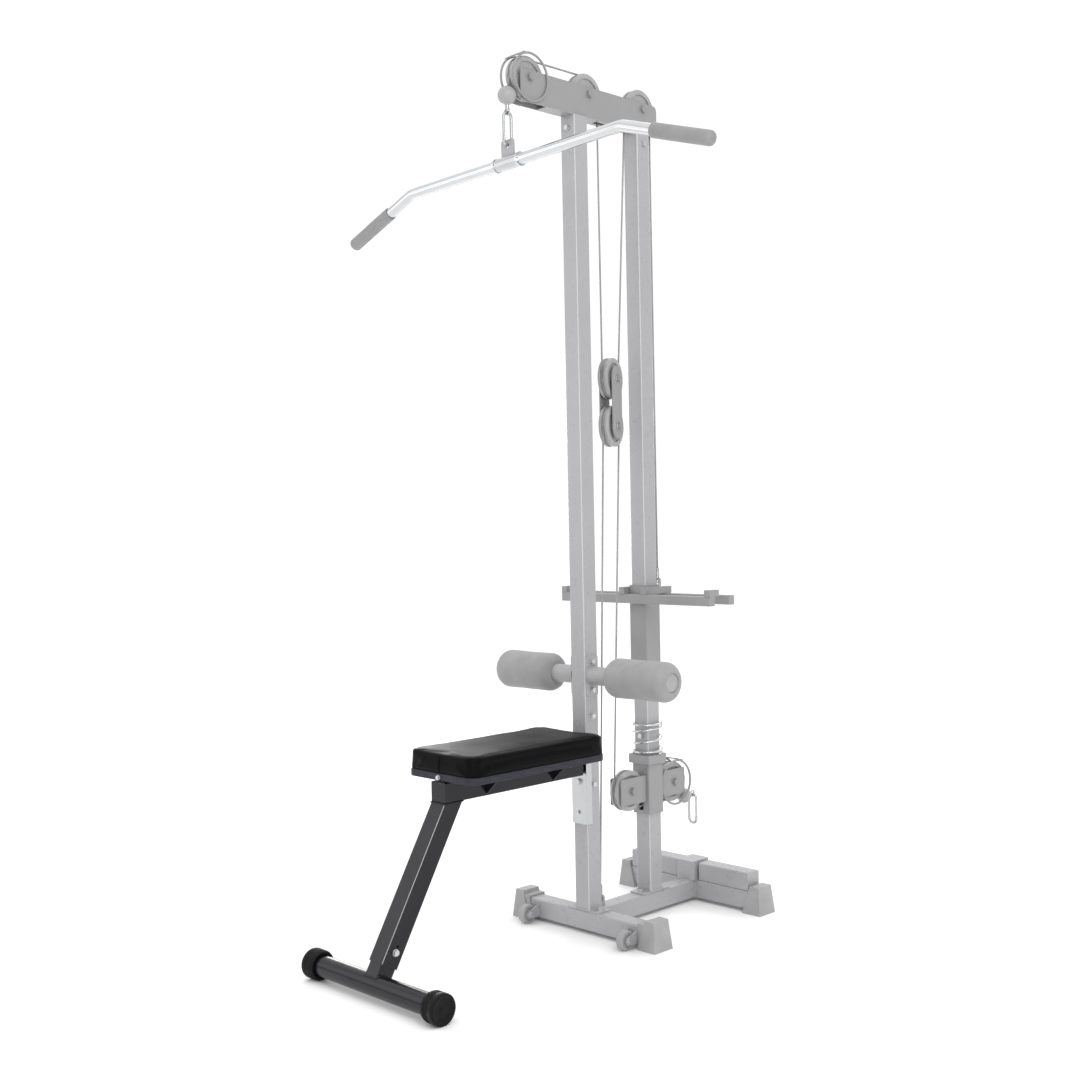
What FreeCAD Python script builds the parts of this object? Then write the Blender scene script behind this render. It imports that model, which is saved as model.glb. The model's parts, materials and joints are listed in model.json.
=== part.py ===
import FreeCAD, Part
import math
import os
from FreeCAD import Vector

# Home gym with a lat pulldown bar, a low row station and a removable bench seat.
# The uprights stand on the X = 0 plane, one behind the other. The user sits in front, towards -Y.
# All lengths are millimetres. Heights are measured from the floor.

os.makedirs("parts", exist_ok=True)

# ---- driving dimensions ----
TUBE = 50.0                 # frame tube, square
WALL = 2.0
CORNER = 4.0                # outer corner radius of the frame tube
FIT = 0.3                   # gap between parts that slide on each other
H = TUBE / 2

BASE_LOW = 10.0             # underside of the base tubes
BASE_TOP = BASE_LOW + TUBE
EAR = 4.0                   # foot plate thickness of an upright
UPRIGHT_TOP = 2139.0
REAR_Y = 245.0              # centre of the rear upright
CROSSBAR_HALF = 246.0
REAR_BAR_Y = 435.0          # centre of the rear crossbar
SOCKET_TOP = 111.0
BOOT_TOP = 75.0

PULLEY_R = 55.0
PULLEY_HALF = 12.5
GROOVE_R = 5.0
CABLE_R = 2.5
CABLE_GAP = 0.6             # between a stretch of cable that changes length and the arc it runs on from
PITCH_R = PULLEY_R - 2.0 - GROOVE_R + CABLE_R + FIT     # from the pulley's axis to the cable's centre
AXLE_R = 5.0
RUNNING = 0.05              # radial clearance of a shaft in its bore

CHEEK_IN = 17.0             # inner face of the plates that hold a pulley
CHEEK = 3.0
CHEEK_OUT = CHEEK_IN + CHEEK

BEAM_FRONT = -210.0
BEAM_REAR = 308.0
BEAM_TOP = 2220.0
TOP_PULLEY_Z = 2202.0
TOP_PULLEY_Y = {"front": -177.0, "mid": 38.0, "rear": 250.0}

FLOAT_Y = 122.0
FLOAT_UPPER_Z = 1463.0
FLOAT_LOWER_Z = 1335.5
FLOAT_TWIST = 18.0          # the floating block hangs turned about the vertical
FLOAT_HALF = 29.5           # half width of a plate of the floating block
FLOAT_REACH = 34.0          # how far a plate runs on beyond its axles

LOW_PULLEY_Z = 349.0
LOW_PULLEY_Y = {"front": 158.0, "rear": 335.0}
COLLAR_HALF = 30.0          # half width of a collar round the rear upright
HOUSING_LOW = 277.0
HOUSING_TOP = 439.0
FLANGE_HALF = 38.0          # half width of the flange that the bumper spring stands on
FLANGE = 24.0
SPRING_R = 40.0
SPRING_WIRE = 3.0
SPRING_PITCH = 27.0
SPRING_TURNS = 3

CARRIAGE_LOW = 627.0
CARRIAGE_TOP = 904.0
BAR_LOW = 855.0             # underside of the two carriage bars
BAR_DEPTH = 22.0
BAR_HEIGHT = 25.0
BAR_HALF = 268.0
CARRIAGE_EYE_Z = 916.0
LINER = 60.0                # length of a nylon liner inside the carriage

ROLLER_Z = 678.0
ROLLER_R = 51.0
ROLLER_BAR_R = 12.5
SLEEVE_R = 24.0
FOAM_IN = 100.0              # from the middle of the tower to the inner end of a foam roller
FOAM_OUT = 302.0

# bolt heights on the uprights
STOP_BOLT_Z = 490.0
SIDE_BOLT_Z = (572.0, 393.0)
BRACKET_BOLT_Z = 401.0
BRACKET_HOLE_Z = 321.0
PLUG_BOLT_Z = 2107.0
FLANGE_BOLTS_Z = (ROLLER_Z - 38.0, ROLLER_Z + 38.0)
FOOT_BOLT = 40.0            # from an upright's middle to the bolts of its foot plate
FOOT_BOLT_LENGTH = 14.0
ROLLER_FLANGE = 3.0
BRACKET = 3.0               # plate thickness of the seat bracket
BRACKET_LOW = 290.0
BRACKET_TOP = 455.0

HOOK_Y = -239.5             # the hanging ball rests against the rim of the front pulley
LAT_BALL_R = 23.3
ROW_BALL_R = 21.0
FERRULE_R = 5.0
LAT_BALL_Z = 2148.5
LAT_EYE_Z = 2108.0
EYE_R = 8.0
EYE_WIRE = 2.3
LINK_R = 13.0
LINK_WIRE = 4.0
LINK_LENGTH = 90.0
GRIP_BAR_Z = 1981.0
GRIP_BAR_R = 14.0
GRIP_BAR_WALL = 2.5
HANGER_R = 16.5
GRIP_BEND_R = 60.0
GRIP_LENGTH = 178.0
GRIP_BAR_HALF = 380.0       # half of the straight middle stretch
GRIP_BAR_REACH = 642.0      # centre to the end of a grip
GRIP_DROP = 19.3            # angle of the bent ends
BAR_TILT = 1.6              # how far the hanging bar leans, one end low

ROW_BALL_Y = 398.0
ROW_EYE_Y = 436.0
ROW_Z = LOW_PULLEY_Z - PITCH_R
ANCHOR_Y = 46.0             # where the low cable is tied to the base rail
ANCHOR_EYE_Z = 82.0

SEAT_HALF = 122.0
SEAT_FRONT = -508.0
SEAT_BACK = -47.0
BOARD_LOW = 474.0
BOARD = 16.0
PAD_TOP = 540.0
RAIL_LOW = 421.0
RAIL_TOP = 471.0
RAIL_FRONT = -510.0
RAIL_BACK = -38.0
POST = 50.0
POST_WALL = 2.5
POST_TOP_Y = -483.0
POST_LEAN = 30.5
POST_LENGTH = 400.0
POST_BOLT_DOWN = POST_LENGTH - 34.0
SLOT = 26.0                 # how far the seat foot can slide on its bolt
STRAP_Y = (-377.0, -148.0)  # the two straps that carry the seat board
SCREW_X = 84.0
FRONT_SCREW_Z = BOARD_LOW + 7
FOOT_Z = 36.0
FOOT_TUBE_R = 25.4
FOOT_CAP_R = 36.0
FOOT_HALF = 232.0

WHEEL_X = 178.0
WHEEL_Y = -57.0
WHEEL_Z = 26.0
WHEEL_R = 25.0
FORK_HALF = 16.0            # half width of a wheel fork, over its two ears

FOOT_Y = POST_TOP_Y - (RAIL_LOW - FOOT_Z) * math.tan(math.radians(POST_LEAN))
BOOT_REAR = REAR_BAR_Y + 35.0
ORIGIN_Y = (FOOT_Y - FOOT_CAP_R + BOOT_REAR) / 2        # middle of the whole footprint

AXES = {"x": Vector(1, 0, 0), "y": Vector(0, 1, 0), "z": Vector(0, 0, 1)}


# ---- shape helpers ----
def save(name, *shapes):
    """Write the node's solids, moved so that the origin is the middle of the footprint."""
    solids = []
    for shape in shapes:
        moved = shape.copy()
        moved.translate(Vector(0, -ORIGIN_Y, 0))
        solids.extend(moved.Solids)
    result = solids[0] if len(solids) == 1 else Part.makeCompound(solids)
    result.exportStep("parts/" + name + ".step")


def box(x0, x1, y0, y1, z0, z1):
    return Part.makeBox(x1 - x0, y1 - y0, z1 - z0, Vector(x0, y0, z0))


def rod(start, end, radius):
    """A round bar between two points."""
    start = Vector(*start)
    run = Vector(*end) - start
    return Part.makeCylinder(radius, run.Length, start, run)


def pipe(start, end, outer, inner):
    return rod(start, end, outer).cut(rod(start, end, inner))


def round_box(x0, x1, y0, y1, z0, z1, axis, radius):
    """A box whose four edges along the axis are rounded."""
    body = box(x0, x1, y0, y1, z0, z1)
    along = [edge for edge in body.Edges if abs(edge.tangentAt(edge.FirstParameter).dot(AXES[axis])) > 0.99]
    return body.makeFillet(radius, along)


def square_tube(x0, x1, y0, y1, z0, z1, axis, wall=WALL, corner=CORNER):
    """A square tube along the axis, open at both ends."""
    outer = round_box(x0, x1, y0, y1, z0, z1, axis, corner)
    inset = {name: 0.0 if name == axis else wall for name in "xyz"}
    inner = round_box(x0 + inset["x"], x1 - inset["x"], y0 + inset["y"], y1 - inset["y"],
                      z0 + inset["z"], z1 - inset["z"], axis, max(corner - wall, 0.5))
    return outer.cut(inner)


def hex_prism(start, axis, height, across_flats):
    """A hexagonal nut or bolt head, standing on start and growing along axis."""
    radius = across_flats / math.sqrt(3)
    points = [Vector(radius * math.cos(i * math.pi / 3), radius * math.sin(i * math.pi / 3), 0) for i in range(7)]
    prism = Part.Face(Part.makePolygon(points)).extrude(Vector(0, 0, height))
    prism.Placement = FreeCAD.Placement(Vector(*start), FreeCAD.Rotation(Vector(0, 0, 1), Vector(*axis)))
    return prism


def bolt(head_at, axis, length, radius=4.0, nut=True):
    """A hex bolt with a washer under its head. The shank runs from head_at along axis to the nut."""
    start = Vector(*head_at)
    way = Vector(*axis).normalize()
    flats = radius * 3.2
    back = start - way * 1.6
    head = hex_prism(back, -way, radius * 1.3, flats)
    washer = Part.makeCylinder(radius * 2.1, 1.6, back, way)
    shank = Part.makeCylinder(radius, length + (radius * 2.2 if nut else 0), start, way)
    body = head.fuse(washer).fuse(shank)
    if nut:
        far = start + way * length
        body = body.fuse(hex_prism(far, way, radius * 1.6, flats))
    return body.removeSplitter()


def hole(head_at, axis, length, radius=4.0):
    start = Vector(*head_at)
    way = Vector(*axis).normalize()
    return Part.makeCylinder(radius + FIT, length + 2, start - way, way)


def turned_about_z(shape, angle, x, y):
    result = shape.copy()
    result.rotate(Vector(x, y, 0), Vector(0, 0, 1), angle)
    return result


def arc_rod(centre, axis, radius, wire, start_angle, sweep):
    """A round bar bent along an arc. Angles run from +Y towards +Z in the YZ plane."""
    torus = Part.makeTorus(radius, wire, Vector(0, 0, 0), Vector(0, 0, 1), 0, 360, sweep)
    torus.rotate(Vector(0, 0, 0), Vector(0, 0, 1), start_angle)
    # the torus lies in XY: turn its X onto +Y and its Y onto +Z
    torus.Placement = FreeCAD.Placement(
        Vector(*centre), FreeCAD.Rotation(Vector(0, 1, 0), Vector(0, 0, 1), Vector(1, 0, 0), "XYZ")
    ).multiply(torus.Placement)
    if axis == "y":
        torus.rotate(Vector(*centre), Vector(0, 0, 1), 90)
    return torus


# ---- pulleys ----
def pulley(x, y, z):
    """A grooved nylon wheel on an axle along X."""
    wheel = rod((x - PULLEY_HALF, y, z), (x + PULLEY_HALF, y, z), PULLEY_R)
    wheel = wheel.makeFillet(1.5, [edge for edge in wheel.Edges if edge.Length > 300])
    groove = Part.makeTorus(PULLEY_R - 2.0, GROOVE_R, Vector(x, y, z), Vector(1, 0, 0))
    bore = rod((x - 20, y, z), (x + 20, y, z), AXLE_R + RUNNING)
    wheel = wheel.cut(groove).cut(bore)
    for side in (-1, 1):
        face = x + side * PULLEY_HALF
        recess = pipe((face - side * 3.5, y, z), (face + side, y, z), 42.0, 16.0)
        wheel = wheel.cut(recess)
    return wheel


def axle_with_spacers(y, z):
    """The bolt that a pulley turns on, with a spacer between the pulley and each plate."""
    axle = bolt((CHEEK_OUT, y, z), (-1, 0, 0), 2 * CHEEK_OUT, AXLE_R)
    parts = [axle]
    for side in (-1, 1):
        inner = side * (PULLEY_HALF + FIT)
        parts.append(pipe((inner, y, z), (side * CHEEK_IN, y, z), 9.0, AXLE_R))
    return parts


def cheek_hole(y, z):
    return hole((CHEEK_OUT + 2, y, z), (-1, 0, 0), 2 * CHEEK_OUT + 4, AXLE_R)


# ---- base ----
def base_frame():
    crossbar = square_tube(-CROSSBAR_HALF, CROSSBAR_HALF, -H, H, BASE_LOW, BASE_TOP, "x")
    rail = square_tube(-H, H, H, REAR_BAR_Y - H, BASE_LOW, BASE_TOP, "y")
    socket = square_tube(-30, 30, 396, 468, BASE_TOP, SOCKET_TOP, "z", 3.0)
    socket_lid = round_box(-30, 30, 396, 468, SOCKET_TOP, SOCKET_TOP + 3, "z", CORNER)
    socket = socket.fuse(socket_lid)
    rear = square_tube(-CROSSBAR_HALF, CROSSBAR_HALF, REAR_BAR_Y - H, REAR_BAR_Y + H, BASE_LOW, BASE_TOP, "x")
    uppers = []
    for side in (-1, 1):
        inner = side * 40
        outer = side * 211
        low, high = sorted((inner, outer))
        tube = square_tube(low, high, REAR_BAR_Y - H, REAR_BAR_Y + H, BASE_TOP, BASE_TOP + TUBE, "x")
        for end in (low, high - 3):
            plug = box(end, end + 3, REAR_BAR_Y - H + 2, REAR_BAR_Y + H - 2, BASE_TOP + 2, BASE_TOP + TUBE - 2)
            tube = tube.fuse(plug)
        uppers.append(tube)

    forks = []
    for side in (-1, 1):
        x = side * WHEEL_X
        back = box(x - FORK_HALF, x + FORK_HALF, -H - 3, -H, WHEEL_Z - 8, WHEEL_Z + 22)
        ears = []
        for ear_x in (x - FORK_HALF, x + FORK_HALF - 3):
            plate = box(ear_x, ear_x + 3, WHEEL_Y, -H, WHEEL_Z - 12, WHEEL_Z + 22)
            nose = rod((ear_x, WHEEL_Y, WHEEL_Z), (ear_x + 3, WHEEL_Y, WHEEL_Z), 12)
            cutter = box(ear_x - 1, ear_x + 4, WHEEL_Y - 30, WHEEL_Y + 34, WHEEL_Z + 12, WHEEL_Z + 40)
            cutter.rotate(Vector(ear_x, WHEEL_Y, WHEEL_Z + 12), Vector(1, 0, 0), 17)
            ears.append(plate.fuse(nose).cut(cutter))
        fork = back.fuse(ears[0]).fuse(ears[1])
        fork = fork.cut(hole((x + FORK_HALF, WHEEL_Y, WHEEL_Z), (-1, 0, 0), 2 * FORK_HALF))
        forks.append(fork)

    foot_holes = []
    for side in (-1, 1):
        foot_holes.append(hole((side * FOOT_BOLT, 0, BASE_TOP + EAR), (0, 0, -1), FOOT_BOLT_LENGTH))
        foot_holes.append(hole((0, REAR_Y + side * FOOT_BOLT, BASE_TOP + EAR), (0, 0, -1), FOOT_BOLT_LENGTH))
    for cutter in foot_holes:
        crossbar = crossbar.cut(cutter)
        rail = rail.cut(cutter)
    save("front_crossbar", crossbar, *forks)
    save("base_rail", rail, socket)
    save("rear_crossbar", rear, *uppers)


def boot(side, y, with_sleeve):
    """A rubber foot pushed over the end of a base tube."""
    lower = [Vector(197, -35, 0), Vector(257, -35, 0), Vector(257, 35, 0), Vector(197, 35, 0), Vector(197, -35, 0)]
    upper = [Vector(219, -28.5, BOOT_TOP), Vector(248.5, -28.5, BOOT_TOP), Vector(248.5, 28.5, BOOT_TOP),
             Vector(219, 28.5, BOOT_TOP), Vector(219, -28.5, BOOT_TOP)]
    body = Part.makeLoft([Part.makePolygon(lower), Part.makePolygon(upper)], True, True)
    if with_sleeve:
        body = body.fuse(box(195, 225, -28.5, 28.5, BASE_LOW - 4, BASE_TOP + 5))
    body = body.cut(box(180, CROSSBAR_HALF, -H, H, BASE_LOW, BASE_TOP))
    body.translate(Vector(0, y, 0))
    if side < 0:
        body = body.mirror(Vector(0, 0, 0), Vector(1, 0, 0))
    return body


def boots():
    save("front_boots", boot(-1, 0, True), boot(1, 0, True))
    save("rear_boots", boot(-1, REAR_BAR_Y, False), boot(1, REAR_BAR_Y, False))


def wheels():
    for side, name in ((-1, "left"), (1, "right")):
        x = side * WHEEL_X
        wheel = rod((x - 10, WHEEL_Y, WHEEL_Z), (x + 10, WHEEL_Y, WHEEL_Z), WHEEL_R)
        wheel = wheel.makeFillet(3.0, [edge for edge in wheel.Edges if edge.Length > 100])
        for face in (-1, 1):
            recess = pipe((x + face * 8, WHEEL_Y, WHEEL_Z), (x + face * 11, WHEEL_Y, WHEEL_Z), 18, 9)
            wheel = wheel.cut(recess)
        wheel = wheel.cut(rod((x - 20, WHEEL_Y, WHEEL_Z), (x + 20, WHEEL_Y, WHEEL_Z), 4.0 + RUNNING))
        save("transport_wheel_" + name, wheel)


# ---- uprights ----
def cable_slot():
    """The opening through the rear upright and its collar that the low cable passes."""
    return box(-8, 8, REAR_Y - 40, REAR_Y + 40, ROW_Z - 12, ROW_Z + 12)


def uprights():
    low = BASE_TOP + EAR
    front = square_tube(-H, H, -H, H, low, UPRIGHT_TOP, "z")
    front = front.fuse(round_box(-56, 56, -H, H, BASE_TOP, low, "z", 4.0))
    rear = square_tube(-H, H, REAR_Y - H, REAR_Y + H, low, UPRIGHT_TOP, "z")
    rear = rear.fuse(round_box(-H, H, REAR_Y - 56, REAR_Y + 56, BASE_TOP, low, "z", 4.0))
    for side in (-1, 1):
        front = front.cut(hole((side * FOOT_BOLT, 0, low), (0, 0, -1), EAR))
        rear = rear.cut(hole((0, REAR_Y + side * FOOT_BOLT, low), (0, 0, -1), EAR))
    for z in SIDE_BOLT_Z:
        front = front.cut(hole((H, 0, z), (-1, 0, 0), TUBE))
    for z in FLANGE_BOLTS_Z:
        front = front.cut(hole((H, 0, z), (-1, 0, 0), TUBE))
    front = front.cut(hole((0, -H, BRACKET_BOLT_Z), (0, 1, 0), TUBE))
    front = front.cut(hole((0, -H, PLUG_BOLT_Z), (0, 1, 0), TUBE))
    front = front.cut(rod((-40, 0, ROLLER_Z), (40, 0, ROLLER_Z), ROLLER_BAR_R + 0.1))
    rear = rear.cut(hole((H, REAR_Y, PLUG_BOLT_Z), (-1, 0, 0), TUBE))
    rear = rear.cut(hole((0, REAR_Y - H, STOP_BOLT_Z), (0, 1, 0), TUBE))
    rear = rear.cut(cable_slot())
    save("front_upright", front)
    save("rear_upright", rear)


def frame_bolts():
    low = BASE_TOP + EAR
    group = []
    for side in (-1, 1):
        group.append(bolt((side * FOOT_BOLT, 0, low), (0, 0, -1), FOOT_BOLT_LENGTH, nut=False))
        group.append(bolt((0, REAR_Y + side * FOOT_BOLT, low), (0, 0, -1), FOOT_BOLT_LENGTH, nut=False))
        group.append(bolt((side * WHEEL_X + FORK_HALF, WHEEL_Y, WHEEL_Z), (-1, 0, 0), 2 * FORK_HALF))
    for z in SIDE_BOLT_Z:
        group.append(bolt((H, 0, z), (-1, 0, 0), TUBE))
    for z in FLANGE_BOLTS_Z:
        group.append(bolt((H + ROLLER_FLANGE, 0, z), (-1, 0, 0), TUBE + 2 * ROLLER_FLANGE))
    group.append(bolt((0, -H - BRACKET, BRACKET_BOLT_Z), (0, 1, 0), TUBE + BRACKET))
    group.append(bolt((0, -H, PLUG_BOLT_Z), (0, 1, 0), TUBE))
    group.append(bolt((H, REAR_Y, PLUG_BOLT_Z), (-1, 0, 0), TUBE))
    group.append(bolt((0, REAR_Y - H, STOP_BOLT_Z), (0, 1, 0), TUBE))
    group.extend(seat_fasteners())
    save("frame_bolts", *group)


# ---- top beam ----
def top_beam():
    outer = box(-CHEEK_OUT, CHEEK_OUT, BEAM_FRONT, BEAM_REAR, UPRIGHT_TOP, BEAM_TOP)
    corners = [edge for edge in outer.Edges
               if abs(edge.tangentAt(edge.FirstParameter).x) > 0.99 and edge.CenterOfMass.y > 0
               and edge.CenterOfMass.z > UPRIGHT_TOP + 10]
    outer = outer.makeFillet(14.0, corners)
    outer = outer.cut(box(-CHEEK_IN, CHEEK_IN, BEAM_FRONT - 1, BEAM_REAR + 1, UPRIGHT_TOP + CHEEK, BEAM_TOP + 1))
    outer = outer.cut(box(-CHEEK_IN, CHEEK_IN, BEAM_FRONT - 1, -118, UPRIGHT_TOP - 1, UPRIGHT_TOP + CHEEK + 1))
    outer = outer.cut(box(-CHEEK_IN, CHEEK_IN, 280, BEAM_REAR + 1, UPRIGHT_TOP - 1, UPRIGHT_TOP + CHEEK + 1))
    outer = outer.cut(box(-8, 8, 76, 212, UPRIGHT_TOP - 1, UPRIGHT_TOP + CHEEK + 1))
    for y in TOP_PULLEY_Y.values():
        outer = outer.cut(cheek_hole(y, TOP_PULLEY_Z))
    for centre in (0, REAR_Y):
        half = H - WALL - FIT
        plug = square_tube(-half, half, centre - half, centre + half, UPRIGHT_TOP - 62, UPRIGHT_TOP, "z", 3.0, 2.5)
        if centre == 0:
            plug = plug.cut(hole((0, -H, PLUG_BOLT_Z), (0, 1, 0), TUBE))
        else:
            plug = plug.cut(hole((H, REAR_Y, PLUG_BOLT_Z), (-1, 0, 0), TUBE))
        outer = outer.fuse(plug)
    save("top_beam", outer)

    spacers = []
    for y in TOP_PULLEY_Y.values():
        spacers.extend(axle_with_spacers(y, TOP_PULLEY_Z))
    for y in LOW_PULLEY_Y.values():
        spacers.extend(axle_with_spacers(y, LOW_PULLEY_Z))
    save("axle_bolts", *spacers)

    for name, y in TOP_PULLEY_Y.items():
        save("top_pulley_" + name, pulley(0, y, TOP_PULLEY_Z))


def guard(y, z, ring_r, ring_x, wire, stub_angles, bridge_angle):
    """Two wire rings that keep the cable on its pulley, welded to the plates by short stubs."""
    result = None
    for side in (-1, 1):
        ring = Part.makeTorus(ring_r, wire, Vector(side * ring_x, y, z), Vector(1, 0, 0))
        for angle in stub_angles:
            stub_y = y + ring_r * math.cos(math.radians(angle))
            stub_z = z + ring_r * math.sin(math.radians(angle))
            stub = rod((side * CHEEK_OUT, stub_y, stub_z), (side * ring_x, stub_y, stub_z), wire * 0.9)
            ring = ring.fuse(stub)
        result = ring if result is None else result.fuse(ring)
    reach = ring_x + wire
    plate = box(-reach, reach, -11, 11, ring_r + wire - 1.5, ring_r + wire + 1.5)
    plate.translate(Vector(0, y, z))
    plate.rotate(Vector(0, y, z), Vector(1, 0, 0), bridge_angle - 90)
    return result.fuse(plate)


def guards():
    save("top_guard", guard(TOP_PULLEY_Y["front"], TOP_PULLEY_Z, 59.5, 23.2, 3.0, (0, -48), 120))
    rings = guard(LOW_PULLEY_Y["rear"], LOW_PULLEY_Z, 60.5, 26.0, 3.2, (150, 210), 75)
    collar = box(-40, 40, REAR_Y, REAR_Y + COLLAR_HALF, HOUSING_LOW, HOUSING_TOP)
    save("row_guard", rings.cut(collar))


# ---- low pulley station ----
def low_station():
    near = REAR_Y - COLLAR_HALF
    far = REAR_Y + COLLAR_HALF
    wall = COLLAR_HALF - H - FIT
    collar = square_tube(-COLLAR_HALF, COLLAR_HALF, near, far, HOUSING_LOW, HOUSING_TOP, "z", wall, 4.0)
    flange = square_tube(-FLANGE_HALF, FLANGE_HALF, REAR_Y - FLANGE_HALF, REAR_Y + FLANGE_HALF,
                         HOUSING_TOP - FLANGE, HOUSING_TOP, "z", FLANGE_HALF - H - FIT, 5.0)
    housing = collar.fuse(flange)
    spans = ((LOW_PULLEY_Y["front"] - 45, near), (far, LOW_PULLEY_Y["rear"] + 43))
    for y0, y1 in spans:
        for side in (-1, 1):
            x0, x1 = sorted((side * CHEEK_IN, side * CHEEK_OUT))
            housing = housing.fuse(round_box(x0, x1, y0, y1, LOW_PULLEY_Z - 36, LOW_PULLEY_Z + 36, "x", 5.0))
    for y in LOW_PULLEY_Y.values():
        housing = housing.cut(cheek_hole(y, LOW_PULLEY_Z))
    housing = housing.cut(cable_slot())
    save("low_housing", housing)
    for name, y in LOW_PULLEY_Y.items():
        save("low_pulley_" + name, pulley(0, y, LOW_PULLEY_Z))


def bumper_spring():
    """A wire spring that stands on the low housing, round the rear upright."""
    helix = Part.makeHelix(SPRING_PITCH, SPRING_PITCH * SPRING_TURNS, SPRING_R)
    edge = helix.Edges[0]
    start = edge.valueAt(edge.FirstParameter)
    section = Part.Wire([Part.makeCircle(SPRING_WIRE, start, edge.tangentAt(edge.FirstParameter))])
    spring = Part.Wire(helix.Edges).makePipeShell([section], True, True)
    spring.translate(Vector(0, REAR_Y, HOUSING_TOP + SPRING_WIRE))
    save("bumper_spring", spring)


# ---- leg rollers ----
def rollers():
    reach = FOAM_OUT - 6
    bar = pipe((-reach, 0, ROLLER_Z), (reach, 0, ROLLER_Z), ROLLER_BAR_R, ROLLER_BAR_R - 1.5)
    flanges = []
    for side in (-1, 1):
        x0, x1 = sorted((side * H, side * (H + ROLLER_FLANGE)))
        plate = round_box(x0, x1, -22, 22, ROLLER_Z - 54, ROLLER_Z + 54, "x", 8.0)
        plate = plate.cut(rod((-40, 0, ROLLER_Z), (40, 0, ROLLER_Z), ROLLER_BAR_R))
        for z in FLANGE_BOLTS_Z:
            plate = plate.cut(hole((side * (H + ROLLER_FLANGE), 0, z), (-side, 0, 0), ROLLER_FLANGE))
        flanges.append(plate)
    save("roller_bar", bar, *flanges)

    sleeves = []
    for side in (-1, 1):
        sleeve = pipe((side * (H + ROLLER_FLANGE), 0, ROLLER_Z), (side * reach, 0, ROLLER_Z), SLEEVE_R, ROLLER_BAR_R)
        cap = rod((side * reach, 0, ROLLER_Z), (side * (reach + 3), 0, ROLLER_Z), SLEEVE_R - 1)
        sleeves.append(sleeve.fuse(cap))
    save("roller_sleeves", *sleeves)

    for side, name in ((-1, "left"), (1, "right")):
        foam = rod((side * FOAM_IN, 0, ROLLER_Z), (side * FOAM_OUT, 0, ROLLER_Z), ROLLER_R)
        foam = foam.makeFillet(30.0, [edge for edge in foam.Edges if edge.Length > 200 and edge.Closed])
        foam = foam.cut(rod((0, 0, ROLLER_Z), (side * (FOAM_OUT + 1), 0, ROLLER_Z), SLEEVE_R + RUNNING))
        save("roller_foam_" + name, foam)


# ---- carriage ----
def cable_eye(y, z, way):
    """A crimped cable end on a vertical cable: a ring whose centre is at z and the ferrule above it."""
    ring = arc_rod((0, y, z), way, EYE_R, EYE_WIRE, 0, 360)
    ferrule = rod((0, y, z + EYE_R - 2), (0, y, z + EYE_R + 25), FERRULE_R)
    return ring.fuse(ferrule)


def eye_lug(y0, y1, hole_y, z0, eye_z):
    """A plate on edge with the hole that a cable eye passes through."""
    top = eye_z + 4.6
    lug = box(-3, 3, y0, y1, z0, top)
    lug = lug.makeFillet(8.0, [edge for edge in lug.Edges
                               if abs(edge.tangentAt(0).x) > 0.99 and edge.CenterOfMass.z > top - 1
                               and edge.CenterOfMass.y > hole_y])
    return lug.cut(rod((-5, hole_y, eye_z - EYE_R), (5, hole_y, eye_z - EYE_R), 6.5))


def carriage():
    gap = H + FIT
    near = REAR_Y - COLLAR_HALF
    far = REAR_Y + COLLAR_HALF
    save("carriage_sleeve", square_tube(-COLLAR_HALF, COLLAR_HALF, near, far, CARRIAGE_LOW, CARRIAGE_TOP, "z"))
    half = COLLAR_HALF - WALL
    liners = []
    for z in (CARRIAGE_LOW, CARRIAGE_TOP - LINER):
        outer = round_box(-half, half, REAR_Y - half, REAR_Y + half, z, z + LINER, "z", 2.0)
        liners.append(outer.cut(box(-gap, gap, REAR_Y - gap, REAR_Y + gap, z - 1, z + LINER + 1)))
    save("carriage_liners", *liners)

    pieces = []
    bar_top = BAR_LOW + BAR_HEIGHT
    for y0 in (near - BAR_DEPTH, far):
        y1 = y0 + BAR_DEPTH
        bar = square_tube(-BAR_HALF, BAR_HALF, y0, y1, BAR_LOW, bar_top, "x", WALL, 2.5)
        for end in (-BAR_HALF, BAR_HALF - 2):
            bar = bar.fuse(box(end, end + 2, y0 + 1, y1 - 1, BAR_LOW + 1, bar_top - 1))
        pieces.append(bar)
    for side in (-1, 1):
        x0, x1 = sorted((side * COLLAR_HALF, side * (COLLAR_HALF + 18)))
        pieces.append(box(x0, x1, near - BAR_DEPTH, far + BAR_DEPTH + 6, bar_top, bar_top + 19))
        x0, x1 = sorted((side * (BAR_HALF - 18), side * BAR_HALF))
        pieces.append(box(x0, x1, near - BAR_DEPTH, near + 18, bar_top, bar_top + 17))
    save("carriage_bars", *pieces)

    cable_y = TOP_PULLEY_Y["rear"] + PITCH_R
    lug = eye_lug(far, cable_y + 12, cable_y, bar_top, CARRIAGE_EYE_Z)
    save("carriage_lug", lug, cable_eye(cable_y, CARRIAGE_EYE_Z, "y"))


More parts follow.
